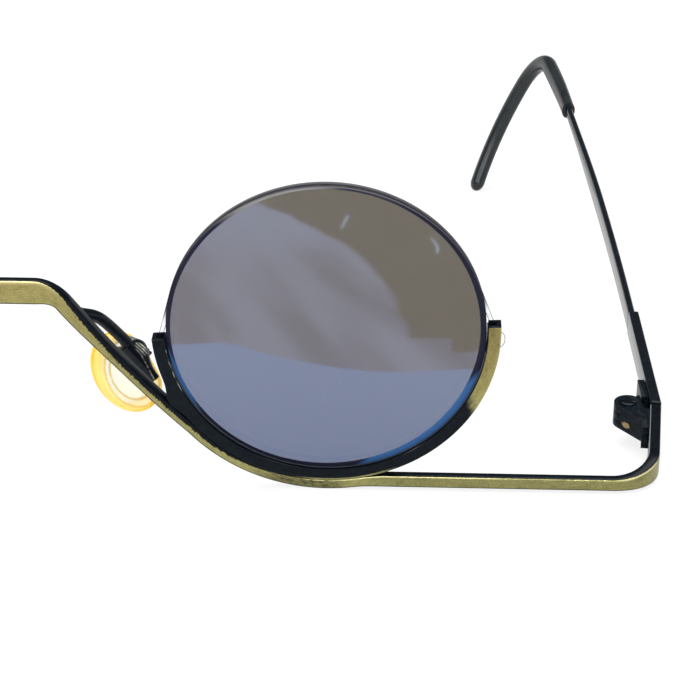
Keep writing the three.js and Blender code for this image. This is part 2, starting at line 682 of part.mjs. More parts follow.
function padScrew() {
  const outside = LUG_WIDTH / 2 + TURN_PLAY + BOX_WALL;
  const length = 2 * outside + FIT + PAD_HEAD_HEIGHT;
  const screw = slottedScrew(PAD_SCREW_DIAMETER, length, PAD_HEAD_DIAMETER, PAD_HEAD_HEIGHT)
    .translate(0, 0, outside + FIT + PAD_HEAD_HEIGHT);
  return acrossLug(screw);
}

function padPlacing() {
  const upright = new THREE.Matrix4().makeBasis(AXIS_Y.clone().negate(), AXIS_Z, AXIS_X.clone().negate());
  const turned = new THREE.Euler(radians(PAD_RAKE), -radians(PAD_FLARE), -radians(PAD_SPLAY), "ZYX");
  const placing = new THREE.Matrix4().makeRotationFromEuler(turned).multiply(upright);
  return placing.setPosition(PAD_OFF_CENTRE, PAD_BEHIND_LENS, -PAD_BELOW_LENS);
}

function padArm(diagonal) {
  const slope = diagonal.getTangent(0);
  const onBar = diagonal.getPoint(0).addScaledVector(slope, ARM_DOWN_DIAGONAL);
  const root = onBar.clone().addScaledVector(AXIS_Y, DIAGONAL_DEPTH + FIT);
  const stub = root.clone().addScaledVector(AXIS_Y, ARM_STUB);
  const over = root.clone().addScaledVector(slope, ARM_RUN).addScaledVector(AXIS_Y, ARM_REACH);
  const placing = padPlacing();
  const top = LUG_UP + BOX_HEIGHT / 2 + FIT;
  const depth = ARM_DIAMETER / 2 - BOX_BACK;
  const seat = new THREE.Vector3(-LUG_ASIDE, top, depth).applyMatrix4(placing);
  const before = new THREE.Vector3(-LUG_ASIDE, top + ARM_APPROACH, depth).applyMatrix4(placing);
  const halfway = over.clone().lerp(before, 1 / 2);
  const curve = new THREE.CatmullRomCurve3([root, stub, over, halfway, before, seat]);
  const section = ovalSection(ARM_DIAMETER, ARM_DIAMETER, WIRE_SIDES);
  const stations = [];
  for (let k = 0; k <= ARM_STEPS; k += 1) {
    const along = curve.getTangentAt(k / ARM_STEPS);
    const up = along.clone().cross(AXIS_X).normalize();
    stations.push({ at: curve.getPointAt(k / ARM_STEPS), up, back: up.clone().cross(along), section });
  }
  return loft(stations);
}

function side(label, { diagonal, endpiece }) {
  const whole = new THREE.Group();
  const add = (group, name, geometry, look) => group.add(piece(`${label}_${name}`, geometry, look));

  const eye = new THREE.Group();
  eye.position.x = LENS_SPACING / 2;
  add(eye, "lens", lens(), lensTint);
  add(eye, "rim", rim(), blackMetal);
  add(eye, "rim_liner", rimLiner(), blackPlastic);
  add(eye, "lens_cord", lensCord(), nylon);

  const nose = new THREE.Group();
  nose.applyMatrix4(padPlacing());
  add(nose, "nose_pad", nosePad(), amber);
  add(nose, "pad_core", padCore(), steel);
  add(nose, "pad_box", padBox(), steel);
  add(nose, "pad_screw", padScrew(), steel);
  add(whole, "pad_arm", padArm(diagonal), blackMetal);

  const along = endpiece.getTangent(1);
  const outward = along.clone().cross(AXIS_Z);
  const hinge = new THREE.Group();
  hinge.position.copy(endpiece.getPoint(1)).addScaledVector(outward, -END_DEPTH - PIN_INSET);
  hinge.rotation.z = -radians(END_SPLAY);
  add(hinge, "hinge_front_leaf", hingeFrontLeaf(), blackMetal);
  add(hinge, "hinge_screw", hingeScrew(), steel);

  const temple = new THREE.Group();
  temple.name = `${label}_temple`;
  temple.rotation.z = radians(END_SPLAY + TEMPLE_TOE_IN);
  add(temple, "hinge_temple_leaf", hingeTempleLeaf(), blackMetal);
  add(temple, "temple_butt", templeButt(), blackMetal);
  add(temple, "temple_wire", loft(wireStations(0)), blackMetal);
  add(temple, "temple_tip", templeTip(), blackPlastic);
  hinge.add(temple);

  whole.add(eye, nose, hinge);
  return whole;
}

function lowest(meshes, lean) {
  const point = new THREE.Vector3();
  return meshes.reduce((least, mesh) => {
    const position = mesh.geometry.attributes.position;
    for (let k = 0; k < position.count; k += 1) {
      point.fromBufferAttribute(position, k).applyMatrix4(mesh.matrixWorld);
      least = Math.min(least, point.y * Math.sin(lean) + point.z * Math.cos(lean));
    }
    return least;
  }, Infinity);
}

// The lean at which the front bar and the temple tips both touch one level surface.
function standingLean(glasses) {
  glasses.updateMatrixWorld(true);
  const bar = [glasses.getObjectByName("front_bar")];
  const tips = ["left", "right"].map((label) => glasses.getObjectByName(`${label}_temple_tip`));
  let low = 0;
  let high = Math.PI / 4;
  for (let k = 0; k < LEAN_HALVINGS; k += 1) {
    const middle = (low + high) / 2;
    if (lowest(bar, middle) > lowest(tips, middle)) low = middle;
    else high = middle;
  }
  return low;
}

const legs = barLegs();
const glasses = new THREE.Group();
glasses.add(piece("front_bar", frontBar(legs.path), brass));
const right = side("right", legs);
right.scale.x = -1;
glasses.add(side("left", legs), right);
glasses.rotation.x = standingLean(glasses);
glasses.updateMatrixWorld(true);
const bounds = new THREE.Box3().setFromObject(glasses, true);
const middle = bounds.getCenter(new THREE.Vector3());
glasses.position.set(-middle.x, -middle.y, -bounds.min.z);

const group = new THREE.Group();
group.add(glasses);

export default group;
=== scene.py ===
import json
import math

import bpy
import numpy as np
from mathutils import Matrix


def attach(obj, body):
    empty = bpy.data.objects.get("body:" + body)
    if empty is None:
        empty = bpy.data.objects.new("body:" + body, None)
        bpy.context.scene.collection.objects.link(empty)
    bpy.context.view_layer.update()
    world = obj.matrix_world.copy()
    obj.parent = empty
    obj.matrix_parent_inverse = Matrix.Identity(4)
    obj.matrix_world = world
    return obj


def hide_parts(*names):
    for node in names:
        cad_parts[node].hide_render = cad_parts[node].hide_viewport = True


bl_info = {
    "name": "Round half-rim sunglasses",
    "version": (1, 0, 0),
    "blender": (4, 5, 0),
    "location": "3D View > Sidebar > Sunglasses",
    "description": "Fine surfaces and finishes over the solids of a pair of sunglasses",
    "category": "Object",
}

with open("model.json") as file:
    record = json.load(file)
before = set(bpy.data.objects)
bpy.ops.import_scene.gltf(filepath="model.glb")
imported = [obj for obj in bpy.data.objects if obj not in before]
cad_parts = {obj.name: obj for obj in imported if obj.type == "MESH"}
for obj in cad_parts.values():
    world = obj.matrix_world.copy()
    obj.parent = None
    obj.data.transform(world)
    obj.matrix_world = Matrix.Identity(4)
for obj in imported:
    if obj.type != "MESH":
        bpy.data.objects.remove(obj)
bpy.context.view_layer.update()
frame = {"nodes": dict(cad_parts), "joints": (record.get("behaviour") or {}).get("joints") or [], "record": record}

MM = 0.001
FIT = 0.05 * MM  # gap between pieces that are fastened to each other
AXIS_X, AXIS_Y, AXIS_Z = np.eye(3)
JOINTS = {joint["name"]: joint for joint in frame["joints"]}
MOUNTS = {mount["name"]: mount for mount in frame["record"]["mounts"]}

# The front's own frame: x to the wearer's left, y back, z up, the origin midway between the lens centres.
FRONT_UP = np.array(JOINTS["left_temple_fold"]["axis"])
FRONT_AXES = np.array([AXIS_X, np.cross(FRONT_UP, AXIS_X), FRONT_UP])
BRIDGE_MIDDLE = np.array([0, -0.65, 3.9]) * MM
FRONT_ORIGIN = np.array(MOUNTS["bridge_front"]["pos_m"]) - BRIDGE_MIDDLE @ FRONT_AXES
PIN = (np.array(JOINTS["left_temple_fold"]["pos_m"]) - FRONT_ORIGIN) @ FRONT_AXES.T

SIDES = (("left", 1.0), ("right", -1.0))


def length(label, words, millimetres):
    """A size in metres that a user may change, given in millimetres."""
    return bpy.props.FloatProperty(
        name=label, description=words, default=millimetres * MM, unit="LENGTH", precision=5
    )


def angle(label, words, degrees):
    """An angle that a user may change, given in degrees."""
    return bpy.props.FloatProperty(
        name=label, description=words, default=math.radians(degrees), subtype="ANGLE"
    )


def colour(label, words, rgb):
    """A linear colour that a user may change."""
    return bpy.props.FloatVectorProperty(
        name=label, description=words, default=rgb, subtype="COLOR", size=3, min=0, max=1
    )


class SunglassesEye(bpy.types.PropertyGroup):
    """Sizes of a lens, its half rim, the liner in the rim and the nylon cord over the lens."""

    spacing: length("Lens spacing", "Distance between the lens centres", 67.6)
    diameter: length("Lens diameter", "Diameter of the round lens", 33.1)
    thickness: length("Lens thickness", "Thickness of the lens", 1.5)
    curve: length("Lens curve", "Radius of the lens faces", 200)
    flatten: length("Lens flatness", "How much flatter the lens is on its upper nose side", 0.29)
    bevel_width: length("Bevel width", "Width of the polished bevel round the lens face", 0.50)
    bevel_less: length("Bevel loss", "How much narrower the bevel is at the top", 0.36)
    bevel_more: length("Bevel growth", "How much wider the bevel is low on the outer side", 0.34)
    bevel_depth: length("Bevel depth", "Depth of the polished bevel", 0.3)
    groove_width: length("Groove width", "Width of the groove in the lens edge", 0.7)
    groove_depth: length("Groove depth", "Depth of the groove in the lens edge", 0.5)
    cord: length("Cord diameter", "Diameter of the nylon cord", 0.5)
    cord_tail: length("Cord tail", "Length of cord inside each rim end", 2)
    rim_gap: length("Rim gap", "Space between lens and rim", 0.15)
    rim_width: length("Rim width", "Width of the rim, across its channel", 1.35)
    rim_depth: length("Rim depth", "Depth of the rim, front to back", 1.7)
    channel_width: length("Channel width", "Width of the channel in the rim", 0.8)
    channel_depth: length("Channel depth", "Depth of the channel in the rim", 0.9)
    lip: length("Rim lip", "Thickness of the wall that closes the channel at each rim end", 0.17)
    braze: length("Braze height", "How far the braze between rim and bar stands out from the rim", 0.65)
    braze_place: length("Braze place", "Distance of the braze from the inner rim end", 7.0)
    lip_reach: length("Rim lip reach", "How far that wall stands out towards the lens", 0.11)
    lip_length: length("Rim lip length", "Length of that wall", 3.0)
    above_temporal: angle("Rim start", "Height of the outer rim end over the lens middle", 3)
    below_nasal: angle("Rim end", "Drop of the inner rim end under the lens middle", 4)
    liner_short: length("Liner inset", "Distance of the liner from each rim end", 3)
    liner_ridge: length("Liner ridge", "Width of the ridge that sits in the lens groove", 0.46)


class SunglassesBar(bpy.types.PropertyGroup):
    """Sizes of the front bar: bridge, diagonal, arc under the lens, outer run and endpiece."""

    bridge_flat: length("Bridge flat", "Length of the straight bridge", 7.86)
    bridge_face: length("Bridge face", "Height of the bridge's front face", 2.79)
    bridge_depth: length("Bridge depth", "Depth of the bridge", 1)
    bridge_corner: length("Bridge corner", "Radius where bridge and diagonal meet", 3.74)
    diagonal_bow: length("Diagonal bow", "How far the diagonal sags below a straight line", 0.38)
    diagonal_face: length("Diagonal face", "Height of the diagonal's front face", 1.2)
    diagonal_depth: length("Diagonal depth", "Depth of the diagonal", 1.6)
    under_depth: length("Under depth", "Depth of the bar under the lens", 1.6)
    past_lowest: angle("Past lowest", "How far the arc runs on past the lowest point", 8.5)
    wave: length("Wave radius", "Radius where the arc turns into the outer run", 25)
    outer_face: length("Outer face", "Height of the outer run's front face", 1.47)
    outer_depth: length("Outer depth", "Depth of the outer run", 1.1)
    span: length("Front span", "Width of the front over the end corners", 139.4)
    corner: length("End corner", "Radius of the end corners", 5.5)
    splay: angle("End splay", "Outward turn of the endpieces", 6)
    end_face: length("End face", "Height of the endpiece", 2.7)
    end_depth: length("End depth", "Thickness of the endpiece", 1.28)
    end_length: length("Endpiece length", "Straight length of the endpiece", 10)
    rounding: length("Edge rounding", "Radius of the bar's edges", 0.26)


class SunglassesTemple(bpy.types.PropertyGroup):
    """Sizes of a temple: butt plate, flat wire and plastic tip with its hook."""

    pin_inset: length("Pin inset", "Distance of the hinge pin from the endpiece", 2.5)
    toe_in: angle("Toe in", "Inward turn of the temple at the hinge", 2.2)
    bow: angle("Bow", "Inward bow of the wire", 2.9)
    tip_bow: angle("Tip bow", "Inward bow at the start of the tip", 3.1)
    straight: length("Straight", "Length from the pin to the bend over the ear", 103.4)
    hook: length("Hook", "Length of the hook after the bend", 19)
    curl: angle("Hook curl", "Turn of the hook along its length", 40)
    drop: angle("Hook drop", "Turn of the bend over the ear", 85)
    inward: angle("Hook inward", "Inward lean of the hook", 26.7)
    bend: length("Bend radius", "Radius of the bend over the ear", 6.5)
    butt_thickness: length("Butt thickness", "Thickness of the butt plate", 1.2)
    butt_height: length("Butt height", "Height of the butt plate", 3.2)
    butt_length: length("Butt length", "Length of the butt plate from the pin", 21)
    wire_thickness: length("Wire thickness", "Thickness of the flat wire", 0.88)
    wire_front: length("Wire height", "Height of the wire at the butt", 2.8)
    wire_back: length("Wire height at the tip", "Height of the wire at the tip", 1.6)
    tip_start: length("Tip start", "Distance of the tip's mouth from the pin", 86)
    tip_thickness: length("Tip thickness", "Thickness of the tip", 2.1)
    tip_height: length("Tip height", "Height of the tip", 2.4)
    mouth_thickness: length("Mouth thickness", "Thickness of the tip at its mouth", 1.9)
    mouth_height: length("Mouth height", "Height of the tip at its mouth", 2.4)
    tip_end: length("Tip end", "Length of the rounded end of the tip", 1.5)


class SunglassesPad(bpy.types.PropertyGroup):
    """Place and sizes of a nose pad and the arm that carries it."""

    aside: length("Pad off centre", "Distance of the pad from the middle of the nose", 12.5)
    behind: length("Pad behind lens", "Distance of the pad behind the lens", 7)
    below: length("Pad below lens", "Distance of the pad below the lens middle", 9.9)
    splay: angle("Pad splay", "Turn of the pad about the upright", 45)
    flare: angle("Pad flare", "Lean of the pad away from the nose", 9)
    rake: angle("Pad rake", "Lean of the pad to the back", 31)
    height: length("Pad length", "Length of the oval pad", 11.1)
    width: length("Pad width", "Width of the oval pad", 7.4)
    flat: length("Pad flat", "How far the pad is drawn in on its outer side", 0.7)
    thickness: length("Pad thickness", "Thickness of the pad", 2.4)
    lug_up: length("Lug up", "Height of the box's middle over the pad's middle", 2.3)
    lug_aside: length("Lug aside", "Sideways place of the lug", 1)
    box_height: length("Box height", "Length of the box that holds the lug", 6.0)
    box_back: length("Box back", "Depth of the box behind the pad", 3.1)
    arm: length("Arm diameter", "Diameter of the pad arm", 1.3)
    arm_down: length("Arm down", "Distance of the arm's root down the diagonal", 2.2)
    arm_lift: length("Arm lift", "Height of the arm's root over the diagonal's middle", 0.05)
    arm_run: length("Arm run", "How far the arm runs along the diagonal", 2.4)
    arm_reach: length("Arm reach", "How far the arm reaches back", 1.9)
    arm_rise: length("Arm rise", "How far the arm's turn stands over its root", 0.3)
    arm_approach: length("Arm approach", "Straight end of the arm over the box", 0.9)


class SunglassesFinish(bpy.types.PropertyGroup):
    """Colours of the finishes."""

    brass: colour("Brass", "Antique brass of the front faces", (0.43, 0.405, 0.160))
    brass_dark: colour("Tarnish", "Dark streaks in the brass", (0.18, 0.17, 0.070))
    # Colour of the painted highlights on the bar's brass (glinting specks, sheen, glint lines); on the rim it also
    # tints a faint random mottle.
    brass_bright: colour("Rubbed brass", "Bright brass on rubbed edges", (0.80, 0.74, 0.40))
    black: colour("Plating", "Blue-black plating", (0.0022, 0.0038, 0.0056))
    lens: colour("Lens tint", "Warm grey of the lens", (0.118, 0.104, 0.078))
    flash: colour("Lens flash", "Tint of the lens coating's reflection", (0.26, 0.45, 1.0))
    # Pale colour of the pad box's ridges: partly metal through the plating, partly painted highlight.
    rubbed: colour("Rubbed plating", "Warm pale metal of the ridges on the pad box", (0.60, 0.59, 0.49))
    ground: colour("Ground edge", "Matte grey of the ground lens edge", (0.064, 0.063, 0.070))
    worn: colour("Worn spot", "Brass that shows through the plating of the hinge", (0.27, 0.19, 0.085))
    amber: colour("Pad amber", "Amber of the pad's edges", (0.66, 0.38, 0.016))
    pale_amber: colour("Pad pale amber", "Pale amber between the pad's edges", (0.84, 0.60, 0.060))
    clear: colour("Pad clear", "Pale yellow of the pad's middle", (0.88, 0.83, 0.34))
    steel: colour("Steel", "Bare steel of the screws", (0.55, 0.56, 0.57))
    nylon: colour("Nylon", "Smoky nylon of the cord", (0.012, 0.012, 0.016))
    plastic: colour("Tip plastic", "Black plastic of the tips", (0.006, 0.008, 0.009))


GROUPS = {
    "sunglasses_eye": SunglassesEye,
    "sunglasses_bar": SunglassesBar,
    "sunglasses_temple": SunglassesTemple,
    "sunglasses_pad": SunglassesPad,
    "sunglasses_finish": SunglassesFinish,
}


# Shapes

def unit(vectors):
    """Each vector of an array at length one."""
    return vectors / np.linalg.norm(vectors, axis=-1, keepdims=True)


def turned(vectors, axis, angles):
    """Vectors turned about an axis: v cos t + (axis x v) sin t + axis (axis . v)(1 - cos t)."""
    vectors, angles = np.atleast_2d(vectors), np.atleast_1d(angles)[:, None]
    along = (vectors @ axis)[:, None] * axis
    across = np.cross(axis, vectors)
    return vectors * np.cos(angles) + across * np.sin(angles) + along * (1 - np.cos(angles))


def smooth(values, low=0.0, high=1.0):
    """Three t squared minus two t cubed, t running from 0 at low to 1 at high."""
    t = np.clip((values - low) / (high - low), 0, 1)
    return t * t * (3 - 2 * t)


def bell(values, middle, wide):
    """A bell curve, e to the power of minus the squared distance from the middle over the width."""
    return np.exp(-(((values - middle) / wide) ** 2))


def circle(count):
    """Angles evenly round a circle."""
    return np.arange(count) * 2 * math.pi / count


def straight_run(start, end, steps):
    """Points and directions along a straight line, start + (end - start) t."""
    t = np.linspace(0, 1, steps + 1)[:, None]
    return start + (end - start) * t, np.repeat(unit(end - start)[None], steps + 1, axis=0)


def arc_run(centre, start, axis, turn, steps):
    """Points and directions along an arc: centre + the start's spoke turned about the axis."""
    angles = np.linspace(0, turn, steps + 1)
    spokes = turned(start - centre, axis, angles)
    return centre + spokes, unit(np.cross(axis, spokes)) * np.sign(turn)


def joined(rows):
    """Rows of values end to end, each shared end kept once."""
    return np.concatenate([row[min(k, 1):] for k, row in enumerate(rows)])


def joined_runs(runs):
    """Runs of (points, directions) end to end."""
    return [joined(rows) for rows in zip(*runs)]


def distance_along(points):
    """Distance along a row of points from its first one."""
    return np.concatenate([[0], np.cumsum(np.linalg.norm(np.diff(points, axis=0), axis=1))])


def rounded_section(height, depth, radius, steps=5):
    """Sections of (height, depth) pairs, one for each size.

    Each is a rectangle that starts at depth 0, with quarter-circle corners.
    """
    height, depth = np.broadcast_arrays(np.atleast_1d(height), np.atleast_1d(depth))
    turn = np.linspace(0, math.pi / 2, steps + 1)
    turns = np.concatenate([turn + k * math.pi / 2 for k in range(4)])
    sign_depth = np.repeat([1, -1, -1, 1], steps + 1)
    sign_height = np.repeat([1, 1, -1, -1], steps + 1)
    a = sign_height * (height[:, None] / 2 - radius) + radius * np.sin(turns)
    b = sign_depth * (depth[:, None] / 2 - radius) + radius * np.cos(turns) + depth[:, None] / 2
    return np.stack([a, b], axis=-1)


def oval_section(height, depth, sides, power=1.0):
    """Sections on superellipses about the middle: a = h/2 |sin|^p sign, b = d/2 |cos|^p sign."""
    height, depth = np.broadcast_arrays(np.atleast_1d(height), np.atleast_1d(depth))
    t = circle(sides)
    wave = [np.sign(f(t)) * np.abs(f(t)) ** power for f in (np.sin, np.cos)]
    return np.stack([height[:, None] / 2 * wave[0], depth[:, None] / 2 * wave[1]], axis=-1)


def lofted(points, up, back, sections):
    """Rings of a profile carried along a path: point + up a + back b for each pair (a, b) of its section."""
    up, back = (np.broadcast_to(axis, points.shape)[:, None] for axis in (up, back))
    return points[:, None] + up * sections[..., :1] + back * sections[..., 1:]


def tube(points, along, radius, sides, hint):
    """Rings of a round tube along a path."""
    up = unit(np.cross(along, hint))
    return lofted(points, up, np.cross(up, along), oval_section(2 * radius, 2 * radius, sides))


def rounded_ends(rings, along, radius, lay=0.0, steps=4):
    """Rings with both ends rounded off: drawn in by r (1 - cos t) while they move out by r sin t - r."""
    turn = np.linspace(0, math.pi / 2, steps + 1)[1:, None, None]

    def end(ring, out):
        middle = ring.mean(0)
        spread = ring - middle
        size = np.linalg.norm(spread, axis=-1, keepdims=True)
        shrink = 1 - radius * (1 - np.cos(turn)) / np.maximum(size, radius)
        return middle + spread * shrink + out * radius * (np.sin(turn) - 1)

    inner = rings.copy()
    inner[0] += along[0] * radius
    inner[-1] -= along[-1] * radius
    lay = np.broadcast_to(lay, rings.shape)
    lays = np.concatenate([np.repeat(lay[:1], steps, 0), lay, np.repeat(lay[-1:], steps, 0)])
    return np.concatenate([end(rings[0], -along[0])[::-1], inner, end(rings[-1], along[-1])]), lays


def ring_faces(rows, sides):
    """Quads between neighbouring rings of a closed profile, and one face over each end."""
    row, k = np.meshgrid(np.arange(rows - 1), np.arange(sides), indexing="ij")
    here, beside = row * sides + k, row * sides + (k + 1) % sides
    quads = np.stack([here, beside, beside + sides, here + sides], axis=-1).reshape(-1, 4)
    first = np.arange(sides)[::-1]
    return quads, [first, first[::-1] + (rows - 1) * sides]


def outward(points, quads, ends):
    """The faces turned round if the volume they close, the sum of a . (b x c) / 6, is negative."""
    triangles = [quads[:, [0, 1, 2]], quads[:, [0, 2, 3]]]
    triangles += [np.stack([np.full(len(e) - 2, e[0]), e[1:-1], e[2:]], axis=-1) for e in ends]
    a, b, c = np.moveaxis(points[np.concatenate(triangles)], 1, 0)
    if np.einsum("ij,ij->", a, np.cross(b, c)) < 0:
        return quads[:, ::-1], [e[::-1] for e in ends]
    return quads, ends


def to_row(points, mirror=1.0):
    """Points of the front's frame in the row frame, mirrored across the nose where mirror is -1."""
    return FRONT_ORIGIN + (points * (mirror, 1, 1)) @ FRONT_AXES


# Objects

def stand_in(node, mesh, body):
    """An object that shows a mesh in place of a CAD node and rides on a body."""
    piece = bpy.data.objects.new(node + "_fine", mesh)
    bpy.context.scene.collection.objects.link(piece)
    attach(piece, body)
    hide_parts(node)
    return piece


def make_piece(node, shells, finishes, body, slot, mirror=1.0, parts=None, sharp=38):
    """One object from closed shells of rings in the front's frame, with the lay of its surface as attribute.

    Parts gives the number of the finish for each row of faces of the first shell; all others take the first.
    Edges that turn by more than sharp degrees stay sharp.
    """
    points, faces, lays, numbers, count = [], [], [], [], 0
    for rings, lay in shells:
        placed = to_row(rings.reshape(-1, 3), mirror)
        quads, ends = outward(placed, *ring_faces(*rings.shape[:2]))
        points.append(placed)
        lays.append(np.broadcast_to(lay, rings.shape).reshape(-1, 3))
        faces += (quads + count).tolist() + [(e + count).tolist() for e in ends]
        rows = np.zeros(len(rings) - 1, int) if parts is None or numbers else np.asarray(parts)
        numbers.append(np.concatenate([np.repeat(rows, rings.shape[1]), rows[[0, -1]]]))
        count += len(placed)
    mesh = bpy.data.meshes.new(node + "_fine")
    mesh.from_pydata(np.concatenate(points).tolist(), [], faces)
    mesh.polygons.foreach_set("material_index", np.concatenate(numbers).astype(np.int32))
    mesh.attributes.new("lay", "FLOAT_VECTOR", "POINT").data.foreach_set(
        "vector", np.concatenate(lays).astype(np.float32).ravel() / MM
    )
    mesh.shade_smooth()
    mesh.set_sharp_from_angle(angle=math.radians(sharp))
    mesh.update()
    for finish in finishes:
        mesh.materials.append(finish)
    stand_in(node, mesh, body)


def make_pair(node, shells, finishes, slot, body="front", **more):
    """A piece on the wearer's left and its mirror image on the right."""
    for side, mirror in SIDES:
        make_piece(f"{side}_{node}", shells, finishes, body.format(side), slot, mirror, **more)


def dressed_copy(node, finish, body, bevel):
    """A merged copy of a small solid with its edges broken by a bevel."""
    mesh = frame["nodes"][node].data.copy()
    mesh.name = node + "_fine"
    mesh.materials.clear()
    mesh.materials.append(finish)
    mesh.shade_smooth()
    piece = stand_in(node, mesh, body)
    weld = piece.modifiers.new("merge", "WELD")
    weld.merge_threshold = 0.002 * MM
    edge = piece.modifiers.new("edges", "BEVEL")
    edge.width = bevel
    edge.segments = 3
    edge.limit_method = "ANGLE"
    edge.angle_limit = math.radians(32)
    edge.harden_normals = True


# Finishes. Lengths on a surface are in millimetres, and noise runs from 0 to 1.

class Signal:
    """An output in a node tree. Sums, products and quotients of signals add Math nodes."""

    def __init__(self, tree, socket):
        self.tree, self.socket = tree, socket

    def math(self, operation, *terms):
        return self.tree.add("ShaderNodeMath", {"operation": operation}, dict(enumerate(terms)))

    def __add__(self, other):
        return self.math("ADD", self, other)

    __radd__ = __add__

    def __sub__(self, other):
        return self.math("SUBTRACT", self, other)

    def __rsub__(self, other):
        return self.math("SUBTRACT", other, self)

    def __mul__(self, other):
        return self.math("MULTIPLY", self, other)

    __rmul__ = __mul__

    def __truediv__(self, other):
        return self.math("DIVIDE", self, other)

    def __abs__(self):
        return self.math("ABSOLUTE", self)

    def sine(self):
        return self.math("SINE", self)

    def lowest(self, other):
        return self.math("MINIMUM", self, other)

    def highest(self, other):
        return self.math("MAXIMUM", self, other)

    def out(self, name):
        return Signal(self.tree, self.socket.node.outputs[name])

    def rise(self, low, high):
        """A smooth step from 0 at low to 1 at high."""
        sockets = {"Value": self, "From Min": low, "From Max": high}
        return self.tree.add("ShaderNodeMapRange", {"interpolation_type": "SMOOTHSTEP"}, sockets)

    def fall(self, low, high):
        """A smooth step from 1 at low to 0 at high."""
        return 1.0 - self.rise(low, high)

    def band(self, low, full, fading, gone):
        """1 from full to fading, and 0 up to low and from gone on."""
        return self.rise(low, full) * self.fall(fading, gone)

    def line(self, at, wide, core=0.3):
        """1 near a value and 0 beyond a width on either side; the core is the share of the width at 1."""
        return (abs(self - at) / wide).fall(core, 1.0)


class Tree:
    """The node tree of a finish or of the world."""

    def __init__(self, owner):
        owner.use_nodes = True
        self.owner, self.nodes, self.links = owner, owner.node_tree.nodes, owner.node_tree.links
        self.nodes.clear()

    def add(self, kind, settings=None, sockets=None, output=0):
        """A node of a type with its settings, then the values or links of its sockets; gives one output."""
        node = self.nodes.new(kind)
        for key, value in (settings or {}).items():
            setattr(node, key, value)
        for key, value in (sockets or {}).items():
            if isinstance(value, Signal):
                self.links.new(value.socket, node.inputs[key])
            else:
                node.inputs[key].default_value = value
        return Signal(self, node.outputs[output]) if len(node.outputs) else node

    def split(self, vector):
        """The three parts of a vector."""
        parts = self.add("ShaderNodeSeparateXYZ", None, {0: vector})
        return [parts.out(axis) for axis in "XYZ"]

    def lay(self):
        """The lay of the surface in millimetres: the whole vector and its three parts."""
        read = self.add("ShaderNodeAttribute", {"attribute_name": "lay"}, output="Vector")
        return read, *self.split(read)

    def place(self):
        """The place in the object, in millimetres."""
        coordinates = self.add("ShaderNodeTexCoord", None, None, "Object")
        return self.scaled(coordinates, (1 / MM,) * 3)

    def scaled(self, vector, factors):
        return self.add("ShaderNodeVectorMath", {"operation": "MULTIPLY"}, {0: vector, 1: factors})

    def noise(self, vector, scale, detail=3.0, roughness=0.55):
        """Noise at one scale, or at a scale for each part of the vector."""
        if isinstance(scale, tuple):
            vector, scale = self.scaled(vector, scale), 1.0
        sockets = {"Vector": vector, "Scale": scale, "Detail": detail, "Roughness": roughness}
        return self.add("ShaderNodeTexNoise", {"noise_dimensions": "3D"}, sockets, "Fac")

    def mix(self, factor, first, second):
        """A colour between two colours."""
        first, second = (tone if isinstance(tone, Signal) else (*tone, 1.0) for tone in (first, second))
        return self.add("ShaderNodeMix", {"data_type": "RGBA"}, {0: factor, 6: first, 7: second}, 2)

    def bump(self, height, strength, distance):
        sockets = {"Strength": strength, "Distance": distance, "Height": height}
        return self.add("ShaderNodeBump", None, sockets, "Normal")

    def emission(self, tone):
        return self.add("ShaderNodeEmission", None, {"Color": tone, "Strength": 1.0})

    def show(self, shader):
        """Sends a shader to the output; gives the material."""
        self.add("ShaderNodeOutputMaterial", None, {"Surface": shader})
        return self.owner

    def surface(self, sockets):
        return self.show(self.add("ShaderNodeBsdfPrincipled", None, sockets))


def finish_tree(name):
    """The empty node tree of a new material."""
    return Tree(bpy.data.materials.new(name))


def times(factor, tone):
    """A colour made lighter or darker."""
    return [factor * part for part in tone]


def plating(tree, tones, wear=0.0):
    """Colour and roughness of the blue-black plating, faintly mottled, with a grey rub where wear is high."""
    place = tree.place()
    mottle = tree.noise(place, 1.4)
    fine = tree.noise(place, 18.0, 2.0)
    base = tree.mix(mottle.rise(0.3, 0.7), tones.black, times(1.7, tones.black))
    return tree.mix(wear, base, times(9, tones.black)), 0.10 + 0.06 * mottle + 0.04 * fine


def brushed_brass(tree, tones, lay, rubbed, tarnish):
    """Colour, roughness and bump height of brass brushed along its length.

    It has streaks, clouds and speckle, tarnish where that is high, and bright brass where the mask for it is high:
    painted highlights on the bar, a faint random mottle on the rim.
    """
    streak = tree.noise(lay, (0.9, 20.0, 20.0), 4.0, 0.65)
    cloud = tree.noise(lay, (0.35, 1.1, 1.1))
    grain = tree.noise(tree.place(), 6.0, 3.0, 0.75)
    spent = 0.5 * streak.rise(0.38, 0.72) + 0.4 * cloud.rise(0.45, 0.8) + 0.5 * grain.rise(0.44, 0.70)
    worn = tree.mix((spent + tarnish).lowest(1.0), tones.brass, tones.brass_dark)
    # Painted highlight where the mask for bright brass is high.
    tone = tree.mix(rubbed, worn, tones.brass_bright)
    return tone, 0.34 + 0.14 * streak, 0.5 * streak + 0.5 * grain


def two_metal(tree, tones, mask, lay, rubbed, tarnish, edge_glint):
    """Brass where the mask is one and black plating elsewhere, with painted highlight lines along edges in pale
    grey, into one surface.
    """
    brass, brass_rough, brushed = brushed_brass(tree, tones, lay, rubbed, tarnish)
    black, black_rough = plating(tree, tones)
    return tree.surface(
        {
            "Base Color": tree.mix(edge_glint, tree.mix(mask, black, brass), times(0.4, tones.steel)),
            "Roughness": black_rough + mask * (brass_rough - black_rough),
            "Metallic": mask,
            "Specular IOR Level": 0.08,
            "Normal": tree.bump(brushed * mask + 1.5 * mask, 0.35, 0.03 * MM),
        }
    )


